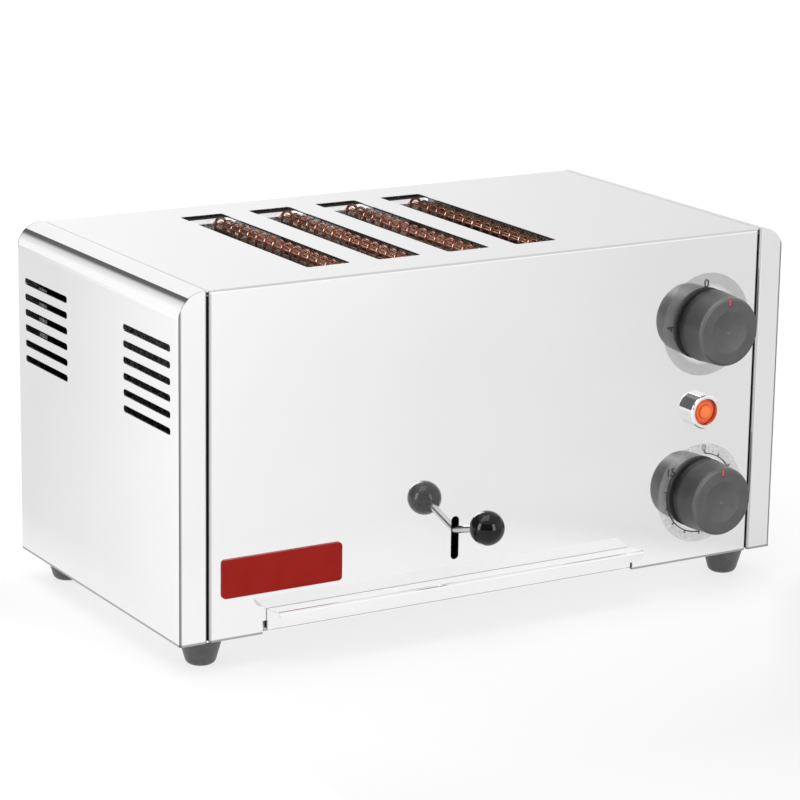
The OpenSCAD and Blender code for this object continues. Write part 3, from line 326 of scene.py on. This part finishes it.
# zinc coat with angular spangles; painted light on the rear wall: it glows faintly towards its top, and a
# pale painted highlight runs along its top edge
spangle = {
    "cells": 900.0, "dull": (0.12, 0.12, 0.12), "bright": (0.86, 0.87, 0.87), "rough": (0.34, 0.5),
    "grain": 900.0, "bump": 0.15, "depth": 0.05,
    "rear": (0.6, 0.5),  # mm in front of the rear wall
    # glow and the hem tone are painted light: emission that stands in for light falling in through the slots
    "glow": 0.2, "glowFrom": (40.0, 15.0),  # mm below the rear wall's top
    "paintedHemTone": 0.85, "hemDepth": (2.4, 2.1),  # likewise
}


def galvanisedSheet():
    material, tree, shader = newMaterial("galvanisedSheet")
    coords = partCoords(tree)
    cells = addNode(tree, "ShaderNodeTexVoronoi", Scale=spangle["cells"], Randomness=1.0)
    tree.links.new(coords, cells.inputs["Vector"])
    chance = addNode(tree, "ShaderNodeSeparateColor")
    tree.links.new(cells.outputs["Color"], chance.inputs["Color"])
    rough = span(tree, chance.outputs["Green"], *spangle["rough"], 0, 1)
    tree.links.new(rough, shader.inputs["Roughness"])
    bumpFrom(tree, shader, noiseAt(tree, coords, spangle["grain"]), spangle["bump"], spangle["depth"])
    low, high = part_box("chamber_rear_wall")
    y, z = xyzOf(tree, coords)[1:]
    rear = rises(tree, y, *shortOf(low.y, spangle["rear"]))
    upper = span(tree, z, 0, spangle["glow"], *shortOf(high.z, spangle["glowFrom"]))
    # painted highlight along the rear wall's top edge, paler in colour and glowing
    paintedHemTone = times(tree, rear, rises(tree, z, *shortOf(high.z, spangle["hemDepth"])))
    bright = larger(tree, chance.outputs["Red"], paintedHemTone)
    tint = ramp(tree, bright, [(0.0, spangle["dull"]), (1.0, spangle["bright"])])
    tree.links.new(tint, shader.inputs["Base Color"])
    glow = times(tree, rear, blend(tree, upper, spangle["paintedHemTone"], paintedHemTone))
    tree.links.new(glow, shader.inputs["Emission Strength"])
    tree.links.new(tint, shader.inputs["Emission Color"])
    setSockets(shader, Metallic=1.0)
    return material


# split mica with pale flakes, longer from front to rear
mica = {
    "flake": 260.0, "stretch": (1, 0.45, 1), "rough": (0.35, 0.6), "roughOver": (0.0, 0.8),
    "cloud": 80.0, "cloudDetail": 5.0, "spread": (0.3, 0.7),
    "tints": ((0.16, 0.12, 0.09), (0.30, 0.24, 0.19)),
    "bump": 0.2, "depth": 0.06,
}


def micaSheet():
    material, tree, shader = newMaterial("micaSheet")
    coords = partCoords(tree, mica["stretch"])
    cells = addNode(tree, "ShaderNodeTexVoronoi", Scale=mica["flake"], feature="SMOOTH_F1")
    tree.links.new(coords, cells.inputs["Vector"])
    flakes = cells.outputs["Distance"]
    cloud = noiseAt(tree, coords, mica["cloud"], mica["cloudDetail"])
    tint = ramp(tree, cloud, list(zip(mica["spread"], mica["tints"])))
    tree.links.new(tint, shader.inputs["Base Color"])
    tree.links.new(span(tree, flakes, *mica["rough"], *mica["roughOver"]), shader.inputs["Roughness"])
    bumpFrom(tree, shader, flakes, mica["bump"], mica["depth"])
    return material


# distance of a surface point from an upright dial's axis, in metres
def dialRadius(tree, centre):
    coords = partCoords(tree, (1, 0, 1), (-centre.x, 0, -centre.z))
    node = addNode(tree, "ShaderNodeVectorMath", operation="LENGTH")
    tree.links.new(coords, node.inputs[0])
    return node.outputs["Value"]


# printed films on the panel, see-through so that the steel shows behind them
films = {
    "greyFilm": {
        "tints": ((0.275, 0.268, 0.265), (0.31, 0.305, 0.30)), "rough": (0.45, 0.6),
        "alpha": 0.265, "specks": (0.9, 1.1),
    },
    "clearFilm": {
        "tints": ((0.43, 0.43, 0.43), (0.58, 0.58, 0.58)), "rough": (0.4, 0.6),
        "alpha": 0.18, "specks": (0.55, 1.6),
    },
}
filmLook = {
    "fleck": 520.0, "fleckDetail": 4.0, "fleckSpread": (0.4, 0.65), "speck": 900.0,
    "bareAlpha": 0.02, "bareWithin": (20.5, 23.0),  # bare ring round the knob, radii in mm
    "skin": 0.15,  # mm in front of the film's middle, where the haze is full
    "thinned": 0.04,  # mm taken off each face
}


def dialFilm(name, centre):
    look = films[name]
    material, tree, shader = newMaterial(name)
    coords = partCoords(tree)
    flecks = noiseAt(tree, coords, filmLook["fleck"], filmLook["fleckDetail"])
    tint = ramp(tree, flecks, list(zip(filmLook["fleckSpread"], look["tints"])))
    tree.links.new(tint, shader.inputs["Base Color"])
    tree.links.new(span(tree, flecks, *look["rough"]), shader.inputs["Roughness"])
    bareFrom, bareTo = [radius * mm for radius in filmLook["bareWithin"]]
    haze = span(tree, dialRadius(tree, centre), filmLook["bareAlpha"], look["alpha"], bareFrom, bareTo)
    haze = times(tree, haze, span(tree, noiseAt(tree, coords, filmLook["speck"]), *look["specks"]))
    depth = xyzOf(tree, partCoords(tree, shift=(0, -centre.y, 0)))[1]
    outer = falls(tree, depth, -filmLook["skin"] * mm, 0)
    tree.links.new(times(tree, haze, outer), shader.inputs["Alpha"])
    setSockets(shader, Specular_IOR_Level=0.0)
    return material


# amber lens: rings lit from behind, deepest near the rim
lensLook = {
    "rings": ((0.0, (0.95, 0.25, 0.035)), (0.42, (0.90, 0.20, 0.035)), (0.55, (0.70, 0.10, 0.02)),
              (0.72, (0.88, 0.16, 0.045)), (1.0, (0.48, 0.04, 0.008))),
    "glow": 0.22, "clear": 0.35, "index": 1.49,
    "grain": 700.0, "rough": (0.08, 0.2),
}


def amberLens(name):
    material, tree, shader = newMaterial("amberLens")
    low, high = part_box(name)
    share = rises(tree, dialRadius(tree, middle(name)), 0.0, (high.x - low.x) / 2)
    tint = ramp(tree, share, lensLook["rings"])
    tree.links.new(tint, shader.inputs["Base Color"])
    tree.links.new(tint, shader.inputs["Emission Color"])
    grain = noiseAt(tree, partCoords(tree), lensLook["grain"])
    tree.links.new(span(tree, grain, *lensLook["rough"]), shader.inputs["Roughness"])
    setSockets(shader, Transmission_Weight=lensLook["clear"], IOR=lensLook["index"],
               Emission_Strength=lensLook["glow"])
    return material


# outer sheets: painted reflection along their folded edges, painted shade along their hems, the cheeks' outer
# rims and the seams beside the cheeks
sheetEdges = {  # distances in mm, tones as shares of the plain steel's
    # fold tones are a painted reflection of the rounded folds; the hem tone is painted shade along the bottom
    # edge
    "fold": ((0.0, 1.0), (0.25, 0.66), (0.90, 0.58), (0.97, 1.0)), "foldDepth": 1.2,
    "topFold": 0.72, "topFoldFrom": (2.3, 2.0), "topFoldEnd": (1.0, 0.0),  # below the top, short of the seam
    "paintedHemTone": 0.42, "hemRise": (0.9, 1.4),
    "rim": 0.3, "rimLeft": (1.0, 0.4), "rimRight": (1.9, 1.5), "rimDepth": (1.3, 1.2),
    "seamIn": 16.1, "seamHalf": 1.9, "seamSoft": 0.1, "seamDepth": (1.4, 1.0), "seamTop": (3.5, 3.0),
    "inside": (1.0, 0.9), "insideTop": (0.3, 0.2), "insideEnd": (2.5, 2.0),
    "slotEnds": (70.6, 71.2), "slotCuts": (0.98, 0.96),  # from the casing's middle, below its top
    "shadeTone": 0.015,
}


def sheetSteel():
    plain = mottledLooks["polishedSteel"]
    finish = mottled("sheetSteel", plain)
    tree = finish.node_tree
    low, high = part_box("folded_casing")
    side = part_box("right_end_cheek")[1].x
    seam = side - sheetEdges["seamIn"] * mm
    face = (high.y - low.y) / 2  # front and rear faces, from the middle
    x, y, z = xyzOf(tree, partCoords(tree, shift=(0, -(low.y + high.y) / 2, 0)))
    across = absolute(tree, x)
    deep = absolute(tree, y)

    def rise(source, edge, key):
        return rises(tree, source, *shortOf(edge, sheetEdges[key]))

    def fall(source, edge, key):
        return falls(tree, source, *shortOf(edge, sheetEdges[key]))

    # painted reflection at the folds, weaker along the top, and painted shade along the hem below
    fold = ramp(tree, rises(tree, deep, face - sheetEdges["foldDepth"] * mm, face), greys(sheetEdges["fold"]))
    darkest = min(tone for place, tone in sheetEdges["fold"])
    onTop = times(tree, rise(z, high.z, "topFoldFrom"), fall(across, seam, "topFoldEnd"))
    fold = blend(tree, fold, span(tree, fold, sheetEdges["topFold"], 1, darkest, 1), onTop)
    hemLow, hemHigh = [low.z + height * mm for height in sheetEdges["hemRise"]]
    shadeBy(finish, times(tree, fold, span(tree, z, sheetEdges["paintedHemTone"], 1, hemLow, hemHigh)))

    # painted shade along the outer rims of both cheeks
    rimLeft = rises(tree, x, *[-place for place in shortOf(side, sheetEdges["rimLeft"])])
    rims = larger(tree, rimLeft, rise(x, side, "rimRight"))
    rims = times(tree, rims, rise(deep, face, "rimDepth"))
    shadeBy(finish, span(tree, rims, 1, sheetEdges["rim"], 0, 1))

    # painted shade in the seams, then inside the casing at the slots' ends and cut edges
    half = sheetEdges["seamHalf"] * mm
    paintedShade = withinSpan(tree, across, seam - half, seam + half, sheetEdges["seamSoft"] * mm)
    paintedShade = times(tree, paintedShade, fall(deep, face, "seamDepth"))
    paintedShade = times(tree, paintedShade, fall(z, high.z, "seamTop"))
    inside = times(tree, fall(deep, face, "inside"), fall(z, high.z, "insideTop"))
    ends = rises(tree, deep, *[place * mm for place in sheetEdges["slotEnds"]])
    inside = times(tree, inside, larger(tree, ends, rise(z, high.z, "slotCuts")))
    inside = times(tree, inside, fall(across, seam, "insideEnd"))
    paintedShade = larger(tree, paintedShade, inside)
    shadeBy(finish, span(tree, paintedShade, 1, sheetEdges["shadeTone"], 0, 1))
    shader = tree.nodes["Principled BSDF"]
    tree.links.new(span(tree, paintedShade, plain["metal"], 0, 0, 1), shader.inputs["Metallic"])
    return finish


# knobs: painted shade, darkest at the skirt, and painted light on the dish, paler where it faces up
knobTone = {  # depths from the face as shares of the knob's length
    "skirtShade": ((0.0, 1.0), (0.08, 1.0), (0.16, 0.66), (0.5, 0.56), (0.76, 0.62), (0.88, 0.1)),
    "dishWay": (-0.6, 0.0, 0.8), "dishLight": (0.68, 1.3), "dishTilt": (-0.18, 0.18),
    "dishDepth": (0.08, 0.1),
}


def shadeKnobs():
    finish = finishes["knobPlastic"]
    tree = finish.node_tree
    low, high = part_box("selector_knob")
    depth = rises(tree, xyzOf(tree, partCoords(tree))[1], low.y, high.y)
    shadeBy(finish, ramp(tree, depth, greys(knobTone["skirtShade"])))
    normal = addNode(tree, "ShaderNodeNewGeometry").outputs["Normal"]
    # painted light: the dish is paler where its normal faces up and left, darker where it faces away
    lit = span(tree, along(tree, normal, knobTone["dishWay"]), *knobTone["dishLight"], *knobTone["dishTilt"])
    shadeBy(finish, blend(tree, lit, 1.0, rises(tree, depth, *knobTone["dishDepth"])))


# painted highlight: guard wires glow a little near the top of their hoops
hoopHighlight = {"below": (7.0, 0.5), "tint": (0.80, 0.42, 0.31, 1.0), "glow": 0.08}  # mm below the hoops' tops


def lightHoops():
    tree = finishes["guardWire"].node_tree
    shader = tree.nodes["Principled BSDF"]
    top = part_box("element_guard_1")[1].z
    height = xyzOf(tree, partCoords(tree))[2]
    glow = span(tree, height, 0, hoopHighlight["glow"], *shortOf(top, hoopHighlight["below"]))
    tree.links.new(glow, shader.inputs["Emission Strength"])
    setSockets(shader, Emission_Color=hoopHighlight["tint"])


finishes = {name: mottled(name, look) for name, look in mottledLooks.items()}
finishes["sheetSteel"] = sheetSteel()
shadeKnobs()
lightHoops()
finishes["galvanisedSheet"] = galvanisedSheet()
finishes["micaSheet"] = micaSheet()
finishes["greyFilm"] = dialFilm("greyFilm", middle("selector_scale"))
finishes["clearFilm"] = dialFilm("clearFilm", middle("timer_scale"))
finishes["amberLens"] = amberLens("lamp_lens")
print("finishes mixed:", len(finishes))


# which finish each CAD node wears
def numbered(stem, count):
    return [stem + "_" + str(i) for i in range(1, count + 1)]


wears = {
    "sheetSteel": ["folded_casing", "left_end_cheek", "right_end_cheek"],
    "polishedSteel": ["crumb_tray", "base_plate"],
    "turnedSteel": ["lever_rod", "selector_shaft", "timer_shaft", "lever_drive_pin", "lever_pivot_pin",
                    "guide_rods"],
    "plainSteel": ["lever_arm", "lever_bracket", "lift_bar", "guide_brackets", "cheek_screws", "foot_nuts",
                   "tray_runners", "timer_body"] + numbered("bread_rest", 4),
    "galvanisedSheet": ["chamber_front_wall", "chamber_rear_wall", "chamber_left_wall",
                        "chamber_right_wall"],
    "chromeRing": ["lamp_bezel"],
    "amberLens": ["lamp_lens"],
    "redPlate": ["badge_plate"],
    "greyFilm": ["selector_scale"],
    "clearFilm": ["timer_scale"],
    "knobPlastic": ["selector_knob", "timer_knob"],
    "ballPlastic": ["lever_ball"],
    "footRubber": ["rubber_feet"],
    "blackPlastic": ["cord_gland", "gland_nut", "selector_switch"],
    "paleInsulator": ["terminal_block", "lamp_body"],
    "micaSheet": numbered("element_card", 5),
    "guardWire": numbered("element_guard", 5),
    "heatingRibbon": numbered("element_ribbon", 5),
    "busBrass": ["upper_bus_bar", "lower_bus_bar", "lift_bushes"],
}


def dressNodes():
    for finish, names in wears.items():
        for name in names:
            mesh = cad[name].data
            mesh.materials.clear()
            mesh.materials.append(finishes[finish])
    bare = sorted(set(cad) - {name for names in wears.values() for name in names})
    print("nodes dressed, left bare:", bare)


dressNodes()


# the badge plate's edges are rounded a little
badgeEdge = {"width": 0.45, "segments": 3, "sharperThan": 40, "weld": 0.001}  # mm and degrees


def roundBadge():
    node = cad["badge_plate"]
    weld = node.modifiers.new("weld", "WELD")
    weld.merge_threshold = badgeEdge["weld"] * mm
    bevel = node.modifiers.new("edge", "BEVEL")
    bevel.width = badgeEdge["width"] * mm
    bevel.segments = badgeEdge["segments"]
    bevel.limit_method = "ANGLE"
    bevel.angle_limit = math.radians(badgeEdge["sharperThan"])
    bevel.use_clamp_overlap = True


# the films are thinned by a hair, so that they don't share a plane with the panel
def thinFilms():
    for name in ("selector_scale", "timer_scale"):
        thin = cad[name].modifiers.new("thin", "DISPLACE")
        thin.mid_level = 0.0
        thin.strength = -filmLook["thinned"] * mm


roundBadge()
thinFilms()
print("badge rounded, films thinned")


# meshes made here

def meshObject(name, build, finish, body):
    mesh = bpy.data.meshes.new(name)
    shape = bmesh.new()
    build(shape)
    bmesh.ops.recalc_face_normals(shape, faces=shape.faces)
    shape.to_mesh(mesh)
    shape.free()
    mesh.materials.append(finishes[finish])
    piece = bpy.data.objects.new(name, mesh)
    scene.collection.objects.link(piece)
    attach(piece, body)
    return piece


# point on an upright dial at a clock angle, at a place along the dial's axis
def onDial(centre, radius, clock, y):
    turn = math.radians(clock)
    return Vector((centre.x + radius * math.sin(turn), y, centre.z + radius * math.cos(turn)))


# flat strip between two rows of points, given a thickness towards -Y
def strip(shape, inner, outer, thick):
    lift = Vector((0, -thick, 0))
    rows = [[shape.verts.new(p) for p in row] for row in
            (inner, outer, [p + lift for p in outer], [p + lift for p in inner])]
    for a, b in ((0, 1), (1, 2), (2, 3), (3, 0)):
        for i in range(len(inner) - 1):
            shape.faces.new((rows[a][i], rows[a][i + 1], rows[b][i + 1], rows[b][i]))
    for end in (0, -1):
        shape.faces.new([row[end] for row in rows])


# red inlay in each knob's pointer groove; its ends are narrowed to a share of the width
pointer = {
    "width": 1.2, "from": 14.6, "to": 18.4, "deep": 0.5, "thick": 0.3,  # mm
    "steps": 6, "endShare": 0.55, "endSlope": 1.8,
}


def addPointer(knob, body):
    centre = frontCentre(knob, pointer["deep"] * mm)
    half = pointer["width"] / 2 * mm
    steps = pointer["steps"]

    def build(shape):
        left, right = [], []
        for i in range(steps + 1):
            share = i / steps
            z = centre.z + (pointer["from"] + share * (pointer["to"] - pointer["from"])) * mm
            pinch = half * min(1.0, pointer["endShare"] + pointer["endSlope"] * min(share, 1 - share))
            left.append(Vector((centre.x - pinch, centre.y, z)))
            right.append(Vector((centre.x + pinch, centre.y, z)))
        strip(shape, left, right, pointer["thick"] * mm)

    return meshObject(body + "_pointer", build, "pointerRed", body)


addPointer("selector_knob", "selector")
addPointer("timer_knob", "timer")


# minute arc and ticks printed on the timer's film
timerPrint = {
    "radius": 22.0, "line": 0.5, "tick": 1.4, "tickWidth": 0.5, "ink": 0.03,  # mm
    "start": 6.0, "end": 302.0,  # degrees clockwise from the top
    "ticks": 12, "arcSteps": 120,
}


def addTimerPrint():
    centre = frontCentre("timer_scale")
    y = centre.y
    inner = timerPrint["radius"] * mm
    outer = inner + timerPrint["line"] * mm
    half = timerPrint["tickWidth"] / 2 * mm
    ink = timerPrint["ink"] * mm

    def clocks(count):
        start, sweep = timerPrint["start"], timerPrint["end"] - timerPrint["start"]
        return [start + sweep * i / count for i in range(count + 1)]

    def build(shape):
        arc = clocks(timerPrint["arcSteps"])
        strip(shape, [onDial(centre, inner, c, y) for c in arc],
              [onDial(centre, outer, c, y) for c in arc], ink)
        for clock in clocks(timerPrint["ticks"]):
            foot = onDial(centre, outer, clock, y)
            tip = onDial(centre, outer + timerPrint["tick"] * mm, clock, y)
            side = onDial(Vector(), half, clock + 90, 0)
            strip(shape, [foot - side, tip - side], [foot + side, tip + side], ink)

    return meshObject("timer_print", build, "dialInk", "casing")


addTimerPrint()


# plain numbers on the films: text, clock angle, radius of its middle, height, tilt, stroke taken off
dialNumbers = {  # mm and degrees
    "selector_scale": [("0", -2, 22.6, 4.6, 0, 0.05), ("2", 90, 23.6, 4.6, 90, 0.01),
                       ("4", 270, 23.6, 4.6, 270, 0.01)],
    "timer_scale": [("0", 4, 25.2, 3.8, 0, 0.12), ("15", 304, 24.4, 4.6, 0, 0.0)],
}
numberPrint = {"heightShare": 0.7, "halfThick": 0.015}  # figures fill this share of the type size; mm


def addNumber(scale, text, clock, radius, height, tilt, thin):
    centre = frontCentre(scale)
    data = bpy.data.curves.new("number", "FONT")
    data.body = text
    data.align_x = "CENTER"
    data.align_y = "CENTER"
    data.size = height / numberPrint["heightShare"] * mm
    data.extrude = numberPrint["halfThick"] * mm
    data.offset = -thin * mm
    letters = bpy.data.objects.new("number", data)
    scene.collection.objects.link(letters)
    place = onDial(centre, radius * mm, clock, centre.y - data.extrude)
    upright = Matrix.Rotation(math.radians(90), 4, "X")
    letters.matrix_world = Matrix.Translation(place) @ Matrix.Rotation(math.radians(tilt), 4, "Y") @ upright
    bpy.context.view_layer.update()
    solid = bpy.data.meshes.new_from_object(letters.evaluated_get(bpy.context.evaluated_depsgraph_get()))
    solid.transform(letters.matrix_world)
    bpy.data.objects.remove(letters)
    solid.materials.clear()
    solid.materials.append(finishes["dialInk"])
    piece = bpy.data.objects.new(scale.replace("scale", "number") + "_" + text, solid)
    scene.collection.objects.link(piece)
    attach(piece, "casing")


for scale, entries in dialNumbers.items():
    for entry in entries:
        addNumber(scale, *entry)
print("dials printed")


# pale floor that glows a little, with places in metres from the part's origin
floorLook = {
    "size": 9.0, "tint": 0.16, "mottle": 0.01, "patch": 3.0, "patchDetail": 2.0, "spread": (0.3, 0.7),
    "rough": 0.7, "shine": 0.1,
    "glow": (0.74, 0.88), "glowFrom": (0.2, 1.2),
    "underGlow": 0.1, "underIn": (0.06, 0.075), "underSoft": 0.06,  # floor in the object's own shade
}
# floor on the right, in front and on the left: slope of the glow's level lines, glow and where,
# then the directions along which it sets in
floorRegions = {
    "right": {"slope": 1.5, "glow": (0.53, 0.5), "across": (0.165, 0.3),
              "sets": [((0, 1, 0), (-0.09, -0.12)), ((1, -0.78, 0), (0.25, 0.31))]},
    "front": {"slope": 1.5, "glow": (0.67, 0.53), "across": (-0.42, 0.165),
              "sets": [((0, 1, 0), (-0.13, -0.28))]},
    "left": {"slope": 2.05, "glow": (0.88, 0.535), "across": (-0.62, -0.275),
             "sets": [((1, 0, 0), (-0.19, -0.24))]},
}


def floorFinish():
    material, tree, shader = newMaterial("paleFloor")
    coords = partCoords(tree)
    tint = floorLook["tint"]
    cloud = noiseAt(tree, coords, floorLook["patch"], floorLook["patchDetail"])
    tones = (tint, tint + floorLook["mottle"])
    tree.links.new(ramp(tree, cloud, greys(zip(floorLook["spread"], tones))), shader.inputs["Base Color"])
    x, y = xyzOf(tree, coords)[:2]
    low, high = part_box("base_plate")
    soft = floorLook["underSoft"]
    inX, inY = floorLook["underIn"]
    under = times(tree, withinSpan(tree, x, low.x + inX, high.x - inX, soft),
                  withinSpan(tree, y, low.y + inY, high.y, soft))
    glow = span(tree, y, *floorLook["glow"], *floorLook["glowFrom"])
    glow = blend(tree, glow, floorLook["underGlow"], under)
    for look in floorRegions.values():
        shaded = span(tree, along(tree, coords, (look["slope"], 1, 0)), *look["glow"], *look["across"])
        shares = [rises(tree, along(tree, coords, way), *where) for way, where in look["sets"]]
        share = shares[0]
        for other in shares[1:]:
            share = times(tree, share, other)
        glow = blend(tree, glow, shaded, share)
    tree.links.new(glow, shader.inputs["Emission Strength"])
    setSockets(shader, Roughness=floorLook["rough"], Emission_Color=(1, 1, 1, 1),
               Specular_IOR_Level=floorLook["shine"])
    return material


def addFloor():
    half = floorLook["size"] / 2
    mesh = bpy.data.meshes.new("floor")
    corners = [(-half, -half, 0), (half, -half, 0), (half, half, 0), (-half, half, 0)]
    mesh.from_pydata(corners, [], [(0, 1, 2, 3)])
    mesh.materials.append(floorFinish())
    floor = bpy.data.objects.new("floor", mesh)
    scene.collection.objects.link(floor)


# softboxes that the camera doesn't see
softboxes = {  # place, aim, width and height in metres, radiance
    "overhead_softbox": ((-0.4, 0.3, 2.2), (0, 0, 0), 2.2, 2.0, 2.8),
    "left_softbox": ((-1.75, -0.15, 0.55), (0, 0, 0.10), 0.5, 1.3, 8.0),
    "right_softbox": ((0.40, -1.80, 0.60), (0, 0, 0.10), 0.6, 1.3, 6.0),
}


def addSoftbox(name, place, aim, width, height, radiance):
    data = bpy.data.lights.new(name, "AREA")
    data.shape = "RECTANGLE"
    data.size = width
    data.size_y = height
    data.energy = radiance * math.pi * width * height
    light = bpy.data.objects.new(name, data)
    light.location = place
    light.rotation_mode = "QUATERNION"
    light.rotation_quaternion = (Vector(aim) - Vector(place)).to_track_quat("-Z", "Y")
    light.visible_camera = False
    scene.collection.objects.link(light)


# sky of the studio: tones, and where along a direction's x, y or z they change
skyLook = {
    "back": (1.035, 0.775), "backAcross": (0.40, 0.62),  # behind the object, falling off to the right
    "backRise": (1.0, 0.97), "backRiseFrom": (0.18, 0.24),
    "screen": ((0.0, 1.08), (0.09, 1.05), (0.20, 0.98), (0.32, 0.84), (0.45, 0.68), (0.57, 0.22),
               (0.64, 0.05), (0.925, 0.03), (0.955, 1.0)),  # dark screen behind on the left
    "screenAcross": (-0.52, -0.08),
    "front": 0.10, "frontFrom": (-0.05, -0.35),
    "frontLow": 1.12, "frontLowTop": (0.68, 0.60), "frontLowFrom": (0.25, 0.35),  # pale wall low in front
    "zenith": 0.95, "zenithFrom": (0.60, 0.70),
}


def addSky():
    world = bpy.data.worlds.new("studio")
    scene.world = world
    world.use_nodes = True
    tree = world.node_tree
    x, y, z = xyzOf(tree, addNode(tree, "ShaderNodeTexCoord").outputs["Generated"])
    shade = times(tree, span(tree, x, *skyLook["back"], *skyLook["backAcross"]),
                  span(tree, z, *skyLook["backRise"], *skyLook["backRiseFrom"]))
    screen = ramp(tree, rises(tree, x, *skyLook["screenAcross"]), greys(skyLook["screen"]))
    shade = times(tree, shade, screen)
    wall = times(tree, rises(tree, z, *skyLook["frontLowTop"]), rises(tree, x, *skyLook["frontLowFrom"]))
    front = span(tree, wall, skyLook["front"], skyLook["frontLow"], 0, 1)
    shade = blend(tree, shade, front, rises(tree, y, *skyLook["frontFrom"]))
    shade = blend(tree, shade, skyLook["zenith"], rises(tree, z, *skyLook["zenithFrom"]))
    tree.links.new(shade, tree.nodes["Background"].inputs["Color"])


addFloor()
for name, box in softboxes.items():
    addSoftbox(name, *box)
addSky()
scene.view_settings.view_transform = "Standard"
print("studio lit")
